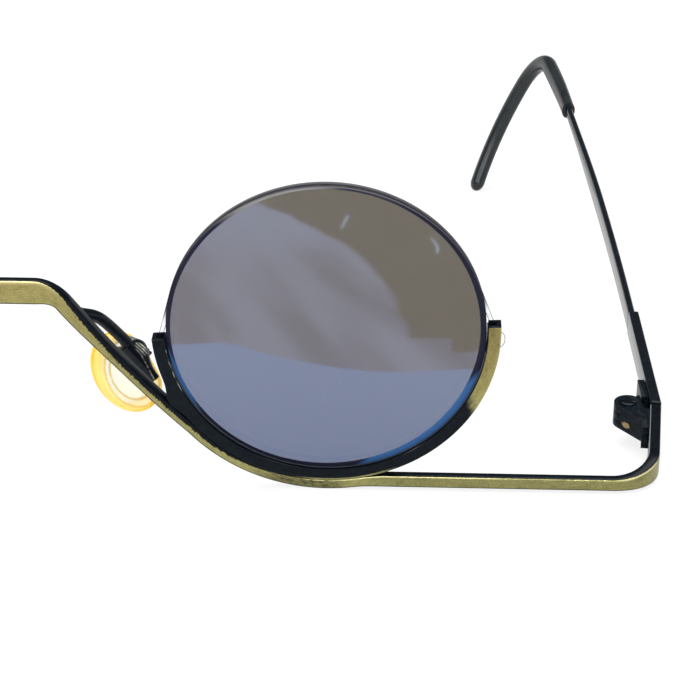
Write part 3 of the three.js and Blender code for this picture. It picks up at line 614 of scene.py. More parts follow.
def bar_finish(tones, diagonal_at, outer_at, end_at):
    """Brass on the bar's front face, black from its top edge and beyond a ragged line, up to the end corners.

    The diagonal, the outer run and the endpiece start at the three distances from mid bridge. On the diagonal
    and under the lens the black comes over the top edge onto the face. The lay's depth counts threefold near
    the lower edge, so that the lower rounding is black as well. Painted highlights brighten the brass just
    below the top edge: glinting specks, a sheen along the bridge, a glint line under the lens and one at the
    end corner. The brass is scuffed under the lens, and a painted highlight line in pale grey runs along the
    endpiece's upper inner edge.
    """
    tree = finish_tree("bar_brass_and_black")
    lay, along, under_top, depth = tree.lay()
    reach = abs(along)
    ragged = tree.noise(lay, (3.2, 3.6, 3.6), 4.0, 0.7) - 0.5
    coarse = tree.noise(lay, (0.5, 0.6, 0.6), 2.0) - 0.5
    diagonal = reach.band(diagonal_at - 3.5, diagonal_at + 2.5, outer_at - 24.0, outer_at - 7.0)
    below = under_top - (0.05 + diagonal * (0.46 + 0.8 * ragged + 0.14 * coarse) + 0.06 * ragged)
    on_face = (depth + 0.12 * ragged * diagonal).fall(0.10, 0.17)
    short_of_ends = (reach + 2.0 * coarse + 0.8 * ragged).fall(end_at - 1.6, end_at + 0.6)

    # Painted highlights: glinting specks in places just below the top edge, a glint line near the end corner, a
    # sheen along the bridge and a glint line along the top edge under the lens.
    glint_fleck = tree.noise(lay, (2.4, 7.0, 7.0), 3.0, 0.7).rise(0.54, 0.64)
    in_places = tree.noise(lay, (0.16, 0.0, 0.0), 1.0).rise(0.40, 0.60)
    spots = glint_fleck * below.fall(0.04, 0.32) * (1.0 - 0.8 * diagonal) * in_places
    glint = reach.band(end_at - 8.0, end_at - 5.5, end_at - 2.6, end_at - 1.2) * below.line(0.13, 0.12)
    sheen = 0.6 * reach.fall(diagonal_at - 4.0, diagonal_at + 0.5) * below.fall(0.08, 0.5)
    streak = reach.band(outer_at - 10.0, outer_at - 6.0, outer_at + 8.0, outer_at + 14.0)
    streak = streak * below.line(0.07, 0.055) * (0.5 + ragged)
    rubbed = spots.highest(glint).highest(sheen).highest(streak)

    low = reach.band(outer_at - 15.0, outer_at - 11.0, outer_at - 6.5, outer_at - 3.5)
    scuffed = low * tree.noise(lay, (1.3, 4.5, 4.5), 3.0, 0.6).rise(0.42, 0.6)
    tarnish = 0.14 * diagonal + 0.45 * reach.rise(outer_at - 6.0, outer_at + 2.0) + 0.8 * low
    # Painted highlight: a pale grey line along the endpiece's upper inner edge.
    inner_edge = depth.line(1.17, 0.07) * under_top.fall(0.10, 0.18)
    edge_glint = reach.rise(end_at - 3.0, end_at) * inner_edge * (0.8 + ragged)
    mask = on_face * below.rise(0.0, 0.05) * short_of_ends * (1.0 - 0.6 * scuffed)
    return two_metal(tree, tones, mask, lay, rubbed, tarnish, edge_glint)


def rim_finish(tones, end_at):
    """Black rim whose front face is brass at the outer end and wears into black towards the bottom.

    Painted highlights run in dashes along its front inner edge near the nose end, and brass shows along its lowest
    edge.
    """
    tree = finish_tree("rim_black_and_brass")
    lay, along, height, depth = tree.lay()
    ragged = tree.noise(lay, (1.6, 4.0, 4.0), 4.0, 0.7) - 0.5
    coarse = tree.noise(lay, (0.5, 0.5, 0.5)) - 0.5
    start = along.rise(-0.1, 0.0)
    faded = (along + 3.0 * coarse + 3.0 * ragged - 1.3 * height).fall(6.6, 9.6)
    front = (depth + 0.06 * ragged).fall(-0.78, -0.72)
    outer = (height + 0.06 * ragged).rise(0.03, 0.08)
    # Painted highlight: bright dashes along the front inner edge near the nose end.
    near_end = along.band(end_at - 6.5, end_at - 5.9, end_at - 1.2, end_at - 0.8)
    inner_edge = height.fall(0.04, 0.08) * depth.fall(-0.76, -0.70)
    edge_glint = near_end * inner_edge * (ragged + 0.5).rise(0.42, 0.56)
    bottom = along.band(19.5, 23.0, 27.0, 30.5) * (height + 0.12 * ragged).rise(1.04, 1.12)
    mask = front * (start * faded * outer).highest(bottom)
    return two_metal(tree, tones, mask, lay, 0.12 * ragged.rise(0.0, 0.2), 0.5 * bottom, edge_glint)


def black_finish(name, tones, gloss, rub=0.0):
    """Blue-black plating with grey metal showing through in scattered rubs."""
    tree = finish_tree(name)
    base, rough = plating(tree, tones, rub * tree.noise(tree.place(), 2.2).rise(0.62, 0.72))
    return tree.surface(
        {
            "Base Color": base,
            "Roughness": rough,
            "Specular IOR Level": gloss,
            "Normal": tree.bump(tree.noise(tree.place(), 26.0, 2.0), 0.05, 0.02 * MM),
        }
    )


def fittings_finish(tones):
    """The plating of pad arms and screws, made once for all of them."""
    name = "fittings_black"
    return bpy.data.materials.get(name) or black_finish(name, tones, 0.10, 0.4)


def box_finish(tones):
    """Blue-black plating with pale ridges high on the box's bulge and a thin pale line below them, partly metal
    showing through and partly a painted highlight in place of reflection streaks.

    The lay holds the place on the pad: across, up and through. The ridges follow the sine of a slanted
    distance.
    """
    tree = finish_tree("box_black_ridged")
    lay, across, up, _ = tree.lay()
    ragged = tree.noise(lay, (2.0, 2.0, 2.0)) - 0.5
    off = across + 1.52 - 0.14 * (up - 4.0) + 0.10 * ragged
    patch = (off * off * 2.6 + (up - 3.5) * (up - 3.5) * 0.7).fall(0.4, 1.0)
    ridges = 0.10 + 0.90 * (21.0 * off + 1.2 * up + 2.0 * ragged).sine().rise(-0.3, 0.9)
    fading = 0.25 + 0.75 * (ragged - 0.35 * off + 0.5).rise(0.35, 0.75)
    line = (across + 0.19 * up).line(-0.54, 0.10, 0.4)
    line = line * up.band(-0.7, -0.2, 3.0, 3.6) * (ragged + 0.5).rise(0.35, 0.6)
    # The pale ridges and line are partly metal through the plating and partly painted highlight.
    worn = (patch * ridges * fading).highest(0.3 * line)
    black, rough = plating(tree, tones)
    return tree.surface(
        {
            "Base Color": tree.mix(worn, black, tones.rubbed),
            "Roughness": rough + 0.14 * worn,
            "Metallic": 0.2 * worn,
            "Specular IOR Level": 0.15,
            "Normal": tree.bump(0.4 * ridges * patch, 0.3, 0.03 * MM),
        }
    )


def hinge_finish(tones):
    """Blue-black plating on the hinge, gone through to brass in one oval spot on its front."""
    tree = finish_tree("hinge_black_worn")
    place = tree.place()
    spot = to_row((PIN + np.array([-0.1, -1.6, -0.5]) * MM)[None])[0] / MM
    x, y, z = tree.split(place)
    across, through, up = abs(x) - spot[0], y - spot[1], z - spot[2]
    ragged = tree.noise(place, 5.0) - 0.5
    off = across * across * 2.2 + through * through + up * up * 4.5
    brass = (off + 0.8 * ragged).fall(0.7, 1.05)
    black, rough = plating(tree, tones, 0.35 * tree.noise(place, 2.2).rise(0.5, 0.7))
    return tree.surface(
        {
            "Base Color": tree.mix(brass, black, tones.worn),
            "Roughness": rough + 0.2 * brass + 0.14,
            "Metallic": 0.3 * brass,
            "Specular IOR Level": 0.05,
            "Normal": tree.bump(tree.noise(place, 20.0, 2.0), 0.08, 0.02 * MM),
        }
    )


def lens_finish(tones):
    """Warm grey tint under a blue flash coating, with a few specks of dust."""
    tree = finish_tree("lens_grey_flash")
    dust = tree.noise(tree.place(), 3.1, 2.0, 0.4).rise(0.76, 0.80)
    return tree.surface(
        {
            "Base Color": tree.mix(0.5 * dust, tones.lens, times(2.2, tones.lens)),
            "Roughness": 0.048,
            "IOR": 3.0,
            "Specular Tint": (*tones.flash, 1.0),
            "Alpha": 0.91,
        }
    )


def lens_bevel_finish(size):
    """The polished bevel, its reflections painted in its colour: blue low on both sides, grey over the top on the
    nose side, nearly black elsewhere.

    The lay holds the place from the lens middle, outwards and up, so each tone lies about one direction from
    there, as far as the share of the lens's radius along that direction says.
    """
    tree = finish_tree("lens_bevel_flash")
    _, aside, height, _ = tree.lay()
    cloud = tree.noise(tree.place(), 0.4, 2.0)

    def towards(degrees, low, high):
        turn = math.radians(degrees)
        return ((math.cos(turn) * aside + math.sin(turn) * height) / size).rise(low, high)

    # Painted reflection: the blue stands in for the flash coating mirroring the pale floor, the grey and
    # near-black for what the bevel mirrors elsewhere.
    blue = towards(-47, 0.835, 0.88).highest(0.9 * towards(-157.5, 0.956, 0.978))
    dark = tree.mix(cloud, (0.008, 0.0085, 0.018), (0.014, 0.0145, 0.027))
    tone = tree.mix(blue, dark, (0.026, 0.080, 0.205))
    return tree.surface(
        {
            "Base Color": tree.mix(towards(108, 0.88, 0.97), tone, (0.15, 0.146, 0.146)),
            "Roughness": 0.16 + 0.08 * cloud,
            "Specular IOR Level": 0.05,
        }
    )


def lens_edge_finish(tones, half):
    """The ground edge: matte grey over the top of the lens, with painted shade that darkens it lower down by the
    rim and along both corners.
    """
    tree = finish_tree("lens_edge_ground")
    _, _, height, depth = tree.lay()
    grain = tree.noise(tree.place(), 12.0, 3.0, 0.7)
    # Painted shade: the corners and the lower edge by the rim are darkened.
    corners = abs(depth).rise(half - 0.15, half - 0.02)
    grey = tree.mix(grain, tones.ground, times(1.25, tones.ground))
    tone = tree.mix(height.rise(1.0, 13.5) * (1.0 - 0.85 * corners), (0.012, 0.011, 0.018), grey)
    return tree.surface({"Base Color": tone, "Roughness": 0.42 + 0.2 * grain, "Specular IOR Level": 0.2})


def nylon_finish(tones):
    """Clear nylon, a little cloudy, that looks dark along its outlines, where the sight grazes it.

    The lay is one where the nylon is denser and darker, beside the lens and in the thin loop, and falls off from
    there.
    """
    tree = finish_tree("cord_clear_nylon")
    _, denser, _, _ = tree.lay()
    cloud = tree.noise(tree.place(), 1.3)
    grazing = tree.add("ShaderNodeLayerWeight", None, {"Blend": 0.5}, "Facing").rise(0.30, 0.75)
    seen = 0.06 + 0.10 * cloud.rise(0.4, 0.7) + 0.78 * grazing + 0.8 * denser.rise(0.3, 0.8)
    return tree.surface(
        {
            "Base Color": tree.mix(cloud.rise(0.3, 0.7), tones.nylon, times(0.9, tones.nylon)),
            "Roughness": 0.12 + 0.08 * cloud,
            "Specular IOR Level": 0.10,
            "Alpha": seen.lowest(0.94),
        }
    )


def pad_finish(tones):
    """Clear plastic with amber gathered along its edges, pale between them and nearly clear in the middle, with a
    faint glow of painted light.

    The lay's height runs from 0 in the middle of the back over the rim to 14 in the middle of the nose side.
    """
    tree = finish_tree("pad_clear_amber")
    _, _, step, _ = tree.lay()
    cloud = tree.noise(tree.place(), 0.7)
    edges = step.line(2.1, 0.26, 0.25)
    for strength, at, wide in ((0.8, 3.15, 0.35), (0.6, 5.0, 2.0), (1.0, 6.1, 0.9)):
        edges = edges.highest(strength * step.line(at, wide, 0.25))
    # The tint fades out past step 8 on the nose side, so that side's shade does not show as grey.
    rim = (0.3 * step.rise(1.9, 2.3) + 0.7 * step.rise(2.9, 3.3)) * step.fall(8.0, 9.4)
    pale = tree.mix(rim, tones.clear, tones.pale_amber)
    tone = tree.mix(edges * (0.7 + 0.5 * cloud), pale, tones.amber)
    return tree.surface(
        {
            "Base Color": tone,
            # Painted light: a faint glow in the pad's own colour lifts the pad where it lies in shade.
            "Emission Color": tone,
            "Emission Strength": 0.18,
            "Roughness": 0.05 + 0.05 * cloud,
            "Specular IOR Level": 0.4,
            "Alpha": (0.09 + 0.16 * step.rise(0.4, 2.4) + 0.30 * rim + 0.42 * edges).lowest(0.95),
        }
    )


def steel_finish(tones):
    """Turned steel with fine scratches."""
    tree = finish_tree("steel_turned")
    scratch = tree.noise(tree.place(), (2.0, 14.0, 5.0), 4.0, 0.7)
    return tree.surface(
        {
            "Base Color": tree.mix(scratch.rise(0.35, 0.7), tones.steel, times(0.6, tones.steel)),
            "Metallic": 1.0,
            "Roughness": 0.16 + 0.16 * scratch,
            "Normal": tree.bump(scratch, 0.15, 0.01 * MM),
        }
    )


def plastic_finish(tones):
    """Black moulded plastic with a soft gloss and a fine moulded grain."""
    tree = finish_tree("tip_black_plastic")
    place = tree.place()
    cloud = tree.noise(place, 0.35)
    return tree.surface(
        {
            "Base Color": tree.mix(cloud.rise(0.3, 0.7), tones.plastic, times(1.8, tones.plastic)),
            "Roughness": 0.24 + 0.12 * cloud,
            "Specular IOR Level": 0.35,
            "Normal": tree.bump(tree.noise(place, 22.0, 2.0), 0.08, 0.02 * MM),
        }
    )


# Paths

def bar_runs(bar, eye):
    """The bar's front path from mid bridge to the joint: points, directions, sizes and which runs lie flat.

    The diagonal sags below its straight line by the bow times 4 t (1 - t). Gives also where it starts and its
    slope.
    """
    front = BRIDGE_MIDDLE[1]
    lens = np.array([eye.spacing / 2, front, 0])
    under_radius = eye.diameter / 2 + eye.rim_gap + eye.rim_width + FIT + bar.diagonal_face / 2
    corner = np.array([bar.bridge_flat / 2, front, BRIDGE_MIDDLE[2] - bar.bridge_corner])
    across = lens - corner
    steep = math.asin((bar.bridge_corner + under_radius) / np.linalg.norm(across))
    steep -= math.atan2(across[2], across[0])
    spoke = np.array([math.sin(steep), 0, math.cos(steep)])
    corner_start = np.array([bar.bridge_flat / 2, front, BRIDGE_MIDDLE[2]])
    corner_end = corner + spoke * bar.bridge_corner
    under_start = lens - spoke * under_radius
    t = np.linspace(0, 1, 47)[:, None]
    sagging = corner_end + (under_start - corner_end) * t - spoke * bar.diagonal_bow * 4 * t * (1 - t)
    slopes = unit(np.gradient(sagging, axis=0))
    half_way = 24
    under = arc_run(lens, under_start, AXIS_Y, -(steep + bar.past_lowest), 110)
    under_end = under[0][-1]
    wave_centre = under_end + unit(under_end - lens) * bar.wave
    wave = arc_run(wave_centre, under_end, AXIS_Y, bar.past_lowest, 20)
    turn = math.pi / 2 - bar.splay
    outer_end = wave[0][-1].copy()
    outer_end[0] = bar.span / 2 - bar.corner * math.sin(turn)
    end = arc_run(outer_end + AXIS_Y * bar.corner, outer_end, AXIS_Z, turn, 44)
    joint = end[0][-1] + end[1][-1] * bar.end_length
    bridge = np.array([bar.bridge_face, bar.bridge_depth])
    diagonal = np.array([bar.diagonal_face, bar.diagonal_depth])
    corner_share = 0.62
    turned_in = bridge + (diagonal - bridge) * corner_share
    below = np.array([bar.diagonal_face, bar.under_depth])
    outer = np.array([bar.outer_face, bar.outer_depth])
    last = np.array([bar.end_face, bar.end_depth])
    runs = [
        (straight_run(BRIDGE_MIDDLE, corner_start, 10), bridge, bridge, True),
        (arc_run(corner, corner_start, AXIS_Y, steep, 24), bridge, turned_in, True),
        ((sagging[: half_way + 1], slopes[: half_way + 1]), turned_in, diagonal, True),
        ((sagging[half_way:], slopes[half_way:]), diagonal, diagonal, True),
        (under, diagonal, below, True),
        (wave, below, outer, True),
        (straight_run(wave[0][-1], outer_end, 40), outer, outer, True),
        (end, outer, last, False),
        (straight_run(end[0][-1], joint, 16), last, last, False),
    ]
    return runs, corner_end, unit(under_start - corner_end)


def bar_stations(bar, eye):
    """Points, directions, up, back and sizes along half the bar, and where each of its runs ends.

    The sizes blend smoothly over each run.
    """
    runs = bar_runs(bar, eye)[0]
    points, along = joined_runs([run[0] for run in runs])
    sizes, flat_parts = [], []
    for k, ((run, _), first, last, lies_flat) in enumerate(runs):
        blend = smooth(np.linspace(0, 1, len(run)))[min(k, 1):, None]
        sizes.append(first + (last - first) * blend)
        flat_parts.append(np.full((len(blend), 1), lies_flat))
    flat = np.concatenate(flat_parts)
    up = np.where(flat, np.cross(along, AXIS_Y), AXIS_Z)
    back = np.where(flat, AXIS_Y, np.cross(AXIS_Z, along))
    marks = distance_along(points)[np.cumsum([len(part) for part in flat_parts]) - 1]
    return points, along, up, back, np.concatenate(sizes), marks


def circle_points(radius, angles):
    """Points on a circle in the lens plane, x = r cos t, z = r sin t."""
    return np.stack([radius * np.cos(angles), np.zeros_like(angles), radius * np.sin(angles)], axis=-1)


def lens_draw(eye, angles):
    """The lens's radius at each angle as a share of the round one.

    It is less by a power of the cosine of the angle from the flattest place, on the upper nose side.
    """
    flattest, power = math.radians(112), 1.8
    return 1 - eye.flatten / (eye.diameter / 2) * np.maximum(np.cos(angles - flattest), 0) ** power


def rim_stations(eye, short, steps=150):
    """Points, directions, spokes and distances along the rim's inner edge.

    They run from the outer end round the bottom to the inner end, short of both ends.
    """
    inner = eye.diameter / 2 + eye.rim_gap
    inset = short / inner
    angles = np.linspace(eye.above_temporal - inset, -(math.pi - eye.below_nasal) + inset, steps + 1)
    spokes = circle_points(1.0, angles)
    along = np.stack([np.sin(angles), np.zeros_like(angles), -np.cos(angles)], axis=-1)
    centre = np.array([eye.spacing / 2, 0, 0])
    return centre + inner * spokes, along, spokes, inner * (angles[0] - angles)


def temple_inner(temple, bar):
    """Distance of the temple's inner face from the pin."""
    return temple.pin_inset * math.cos(temple.toe_in + bar.splay)


def bowed_run(start, along, size, bow, steps):
    """An arc that leaves start along a direction and bows inwards."""
    return arc_run(start + np.cross(AXIS_Z, along) * size / bow, start, AXIS_Z, bow, steps)


def temple_runs(temple, bar, short_of_end):
    """The temple's centre line: bowed wire, start of the tip, bend and hook, with its inward side."""
    wire_at = temple.butt_length + FIT
    start = np.array([temple_inner(temple, bar) + temple.wire_thickness / 2, wire_at, 0])
    wire = bowed_run(start, AXIS_Y, temple.tip_start - wire_at, temple.bow, 60)
    tip = bowed_run(wire[0][-1], wire[1][-1], temple.straight - temple.tip_start, temple.tip_bow, 24)
    along = tip[1][-1]
    drop = -AXIS_Z * math.cos(temple.inward) + np.cross(AXIS_Z, along) * math.sin(temple.inward)
    side = np.cross(along, drop)
    centre = tip[0][-1] + drop * temple.bend
    bend = arc_run(centre, tip[0][-1], side, temple.drop, 36)
    inwards = (centre - bend[0][-1]) / temple.bend
    turn = temple.curl * (temple.hook - short_of_end) / temple.hook
    hook = arc_run(bend[0][-1] + inwards * temple.hook / temple.curl, bend[0][-1], side, turn, 24)
    backs = []
    for run, twist in ((wire, 0), (tip, temple.inward)):
        plain = np.cross(AXIS_Z, run[1])
        turn = twist * smooth(np.linspace(0, 1, len(plain)))[:, None]
        backs.append(plain * np.cos(turn) + np.cross(run[1], plain) * np.sin(turn))
    backs += [np.repeat(side[None], len(run[0]), 0) for run in (bend, hook)]
    return [wire, tip, bend, hook], backs


def temple_stations(temple, bar, first_run, short_of_end=0.0):
    """Points, directions, up and back along the temple from one of its runs on, and distances to the pin."""
    runs, backs = temple_runs(temple, bar, short_of_end)
    points, along = joined_runs(runs[first_run:])
    back = joined(backs[first_run:])
    begin = temple.tip_start if first_run else temple.butt_length
    return points, along, np.cross(along, back), back, begin + distance_along(points)


def in_front(points, temple):
    """Points of the open temple, x outwards, y back along it and z up, in the front's frame."""
    return PIN + points @ turned(np.eye(3), AXIS_Z, temple.toe_in)


def on_pad(points, pad):
    """Points of the pad, across, up along it and towards the nose, in the front's frame."""
    turns = np.eye(3)
    for axis, turn in ((AXIS_X, pad.rake), (AXIS_Y, -pad.flare), (AXIS_Z, -pad.splay)):
        turns = turned(turns, axis, turn)
    axes = np.stack([-turns[1], turns[2], -turns[0]])
    return np.array([pad.aside, pad.behind, -pad.below]) + points @ axes


def spline_run(knots, steps):
    """Points and directions of a smooth curve through knots.

    Its pieces are cubics whose slope at a knot is half the step between the knot's neighbours.
    """
    padded = np.concatenate([2 * knots[:1] - knots[1:2], knots, 2 * knots[-1:] - knots[-2:-1]])
    t = np.linspace(0, 1, steps, endpoint=False)[:, None]
    pieces = []
    for before, start, end, after in zip(padded, padded[1:], padded[2:], padded[3:]):
        leave, arrive = (end - before) / 2, (after - start) / 2
        pieces.append(
            start * (2 * t**3 - 3 * t**2 + 1) + leave * (t**3 - 2 * t**2 + t)
            + end * (3 * t**2 - 2 * t**3) + arrive * (t**3 - t**2)
        )
    points = np.concatenate([*pieces, knots[-1:]])
    return points, unit(np.gradient(points, axis=0))


def settings(context, *names):
    """The groups of sizes and colours with these names."""
    return [getattr(context.scene, "sunglasses_" + name) for name in names]


# Pieces

class SUNGLASSES_OT_front_bar(bpy.types.Operator):
    """Makes the front bar: a rounded rectangle carried from one endpiece over the bridge to the other."""

    bl_idname = "sunglasses.front_bar"
    bl_label = "Front bar"

    def execute(self, context):
        eye, bar, tones = settings(context, "eye", "bar", "finish")
        points, along, up, back, sizes, marks = bar_stations(bar, eye)
        flip = np.array([-1, 1, 1])
        whole = [np.concatenate([v[:0:-1] * flip, v]) for v in (points, up, back)]
        directions = np.concatenate([along[:0:-1] * -flip, along])
        sizes = np.concatenate([sizes[:0:-1], sizes])
        sections = rounded_section(sizes[:, 0], sizes[:, 1], bar.rounding)
        rings = lofted(*whole, sections)
        reach = distance_along(points)
        s = np.concatenate([-reach[:0:-1], reach])
        top = sizes[:, :1] / 2 - sections[..., 0]
        low_edge = 0.24 * MM
        over_bottom = sizes[:, :1] - top
        depth = sections[..., 1] + 3 * np.maximum(low_edge - over_bottom, 0)
        lay = np.stack([np.broadcast_to(s[:, None], top.shape), top, depth], axis=-1)
        shell = rounded_ends(rings, directions, 0.12 * MM, lay)
        finish = bar_finish(tones, *(marks[[1, 5, 7]] / MM))
        make_piece("front_bar", [shell], [finish], "front", "front_brass")
        return {"FINISHED"}


class SUNGLASSES_OT_lenses(bpy.types.Operator):
    """Makes each lens: a profile of face, bevel, grooved edge and back face turned about the lens axis.

    The bevel grows wider low on the outer side with the square of the cosine of the angle from there, and
    narrower and shallower at the top with the square of the height. The whole lens is drawn in on its upper
    nose side.
    """

    bl_idname = "sunglasses.lenses"
    bl_label = "Lenses"

    def execute(self, context):
        eye, tones = settings(context, "eye", "finish")
        half, radius, groove = eye.thickness / 2, eye.diameter / 2, eye.groove_width / 2
        angles = circle(160)
        low_outer = math.radians(-48)
        near_low = np.maximum(np.cos(angles - low_outer), 0) ** 2
        near_top = np.maximum(np.sin(angles), 0) ** 2
        bevel = eye.bevel_width + eye.bevel_more * near_low - eye.bevel_less * near_top
        share_out = np.linspace(0.02, 1, 22)[:, None]
        face = radius - eye.bevel_width

        def shell(reach, level):
            r = share_out * reach
            bow = (eye.curve**2 - face**2) ** 0.5 - np.sqrt(eye.curve**2 - r**2)
            return np.stack([r, bow + level], axis=-1)

        turn = np.linspace(-math.pi / 2, math.pi / 2, 9)
        dip = np.stack([radius - eye.groove_depth * np.cos(turn), groove * np.sin(turn)], axis=-1)
        shoulder_depth = eye.bevel_depth * (1 - 0.5 * near_top) - half
        shoulder = np.stack([np.full_like(angles, radius), shoulder_depth], axis=-1)
        edge = np.concatenate([dip, [(radius, half)]])
        profile = np.concatenate(
            [
                shell(radius - bevel, -half),
                shoulder[None],
                np.broadcast_to(edge[:, None], (len(edge), len(angles), 2)),
                shell(np.full_like(angles, face), half)[::-1],
            ]
        )
        profile = profile * np.stack([lens_draw(eye, angles), np.ones_like(angles)], axis=-1)
        centre = AXIS_X * eye.spacing / 2
        rings = circle_points(1.0, angles) * profile[..., :1] + AXIS_Y * profile[..., 1:] + centre
        lay = (rings - centre)[..., [0, 2, 1]]
        face_rows = len(share_out) - 1
        parts = np.repeat([0, 1, 2, 0], [face_rows, 1, len(edge) + 1, face_rows])
        finishes = [lens_finish(tones), lens_bevel_finish(radius / MM), lens_edge_finish(tones, half / MM)]
        make_pair("lens", [(rings, lay)], finishes, "lens_tint", parts=parts, sharp=12)
        return {"FINISHED"}


class SUNGLASSES_OT_rims(bpy.types.Operator):
    """Makes each half rim and its liner: channel sections carried round the bottom of the lens.

    A thin wall with rounded edges closes the rim's channel at both ends.
    """

    bl_idname = "sunglasses.rims"
    bl_label = "Rims and liners"

    def execute(self, context):
        eye, tones = settings(context, "eye", "finish")
        half, slot = eye.rim_depth / 2, eye.channel_width / 2
        lip, edge = 0.06 * MM, 0.16 * MM
        turn = np.linspace(0, math.pi / 2, 5)
        sine, cosine = edge * np.sin(turn), edge * np.cos(turn)
        section = np.array(
            [
                (lip, -half),
                (0, lip - half),
                (0, -slot - lip),
                (lip, -slot),
                (eye.channel_depth, -slot),
                (eye.channel_depth, slot),
                (lip, slot),
                (0, slot + lip),
                (0, half - lip),
                (lip, half),
                *np.stack([eye.rim_width - edge + sine, half - edge + cosine], axis=-1),
                *np.stack([eye.rim_width - edge + cosine, edge - half - sine], axis=-1),
            ]
        )
        inset, overlap = 0.06 * MM, 0.02 * MM
        points, _, spokes, s = rim_stations(eye, inset, 400)
        wall = rounded_section(eye.lip + eye.lip_reach, 2 * (slot + overlap), 0.05 * MM)
        wall = wall + ((eye.lip - eye.lip_reach) / 2, -slot - overlap)
        not_brass = -AXIS_X * MM
        lips = [
            (lofted(points[kept], spokes[kept], AXIS_Y, wall), not_brass)
            for kept in (s < eye.lip_length, s > s[-1] - eye.lip_length)
        ]
        self.carry(eye, 0.0, section, rim_finish(tones, s[-1] / MM), "rim", "rim_metal", lips)
        ridge, body = eye.liner_ridge / 2, slot - FIT
        clearance, chamfer = 0.1 * MM, 0.1 * MM
        tip = clearance - eye.groove_depth - eye.rim_gap
        shoulder, seat = FIT - eye.rim_gap, eye.channel_depth - FIT
        one_side = [
            (tip, ridge * 0.6),
            (tip + chamfer, ridge),
            (shoulder, ridge),
            (shoulder, body),
            (seat, body),
        ]
        liner = np.array(one_side + [(a, -b) for a, b in one_side[::-1]])
        plain = bpy.data.materials["liner_black"]  # comes with the frame
        self.carry(eye, eye.liner_short, liner, plain, "rim_liner", "liner_black")
        return {"FINISHED"}

    def carry(self, eye, short, section, finish, node, slot, more=()):
        """Rings of one section round the lens, its height away from the lens and its depth to the back.

        Where rim and bar meet, the outer side swells in a bell curve, as the braze fills their corner.
        """
        points, along, spokes, s = rim_stations(eye, short)
        sections = np.broadcast_to(section, (len(points), *section.shape))
        lay = np.concatenate([np.broadcast_to(s[:, None, None], (*sections.shape[:2], 1)), sections], axis=-1)
        swell = eye.braze * bell(s[-1] - s, eye.braze_place, 1.3 * MM)
        outer = section[:, 0] > eye.channel_depth
        sections = sections + (swell[:, None] * outer)[..., None] * (1, 0)
        rings, lay = rounded_ends(lofted(points, spokes, AXIS_Y, sections), along, 0.05 * MM, lay, 2)
        lay[:2, :, 0] = -MM
        make_pair(node, [(rings, lay), *more], [finish], slot)


class SUNGLASSES_OT_cords(bpy.types.Operator):
    """Makes each nylon cord: a round tube over the lens and into both rim ends.

    A thin loop of its tail stands off the outer rim end with the sine of its course. The lay falls from one
    in a bell curve of the angle past the points where the cord meets the lens.
    """

    bl_idname = "sunglasses.cords"
    bl_label = "Lens cords"

    def execute(self, context):
        eye, tones = settings(context, "eye", "finish")
        on_lens = eye.diameter / 2 - eye.groove_depth + FIT + eye.cord / 2
        in_rim = eye.diameter / 2 + eye.rim_gap + eye.channel_depth / 2
        tail, leave, tail_steps = eye.cord_tail / in_rim, math.acos(on_lens / in_rim), 6
        first, last = eye.above_temporal, math.pi + eye.below_nasal
        centre = np.array([eye.spacing / 2, 0, 0])
        over = np.linspace(first + leave, last - leave, 140)
        spots = [
            circle_points(in_rim, np.linspace(first - tail, first, tail_steps)),
            circle_points(1.0, over) * (on_lens * lens_draw(eye, over))[:, None],
            circle_points(in_rim, np.linspace(last, last + tail, tail_steps)),
        ]
        points = centre + np.concatenate(spots)
        rings = tube(points, unit(np.gradient(points, axis=0)), eye.cord / 2, 14, AXIS_Y)
        lay = np.zeros(rings.shape)
        past_leave = np.minimum(over - over[0], over[-1] - over)
        lay[tail_steps:-tail_steps, :, 0] = bell(past_leave, 0, math.radians(9))[:, None] * MM
        outer = eye.diameter / 2 + eye.rim_gap + eye.rim_width
        t = np.linspace(0, math.pi, 30)
        swing = first - math.radians(6.5) - math.radians(2.8) * np.cos(t)
        stand_off, thread, behind = 0.5 * MM, 0.035 * MM, 0.25 * MM
        loop = centre + circle_points(1.0, swing) * (outer + stand_off * np.sin(t) - FIT)[:, None]
        loop[:, 1] += behind
        loop_rings = tube(loop, unit(np.gradient(loop, axis=0)), thread, 8, AXIS_Y)
        make_pair("lens_cord", [(rings, lay), (loop_rings, MM)], [nylon_finish(tones)], "cord_nylon")
        return {"FINISHED"}


class SUNGLASSES_OT_nose_pads(bpy.types.Operator):
    """Makes each nose pad: oval rings of a stepped, dished profile, with a raised rim round its face.

    The oval is drawn in on its outer side with the sixth power of the cosine from there.
    """

    bl_idname = "sunglasses.nose_pads"
    bl_label = "Nose pads"

    def execute(self, context):
        pad, tones = settings(context, "pad", "finish")
        knots = np.array(
            [
                (0.02, 0.10), (0.40, 0.10), (0.62, 0.08), (0.80, 0.0), (0.90, 0.05),
                (0.965, 0.18), (1.0, 0.42), (0.975, 0.68), (0.90, 0.86), (0.80, 0.93),
                (0.72, 0.90), (0.66, 0.93), (0.58, 0.95), (0.3, 0.985), (0.02, 1.0),
            ]
        )
        steps = 6
        profile = spline_run(np.c_[knots, np.zeros(len(knots))], steps)[0][:, :2]
        angles = circle(96)
        outer_side = math.radians(15)
        drawn = np.maximum(-np.cos(angles - outer_side), 0) ** 6 * pad.flat
        x, y = np.cos(angles) * pad.width / 2 + drawn, np.sin(angles) * pad.height / 2
        out, through = profile[:, :1], profile[:, 1:]
        depth = np.broadcast_to(through * pad.thickness, (len(profile), len(angles)))
        rings = np.stack([out * x, out * y, depth], axis=-1)
        lay = np.zeros(rings.shape)
        lay[..., 1] = np.arange(len(profile))[:, None] / steps * MM
        shell = (on_pad(rings, pad), lay)
        make_pair("nose_pad", [shell], [pad_finish(tones)], "pad_clear", "{}_pad")
        return {"FINISHED"}


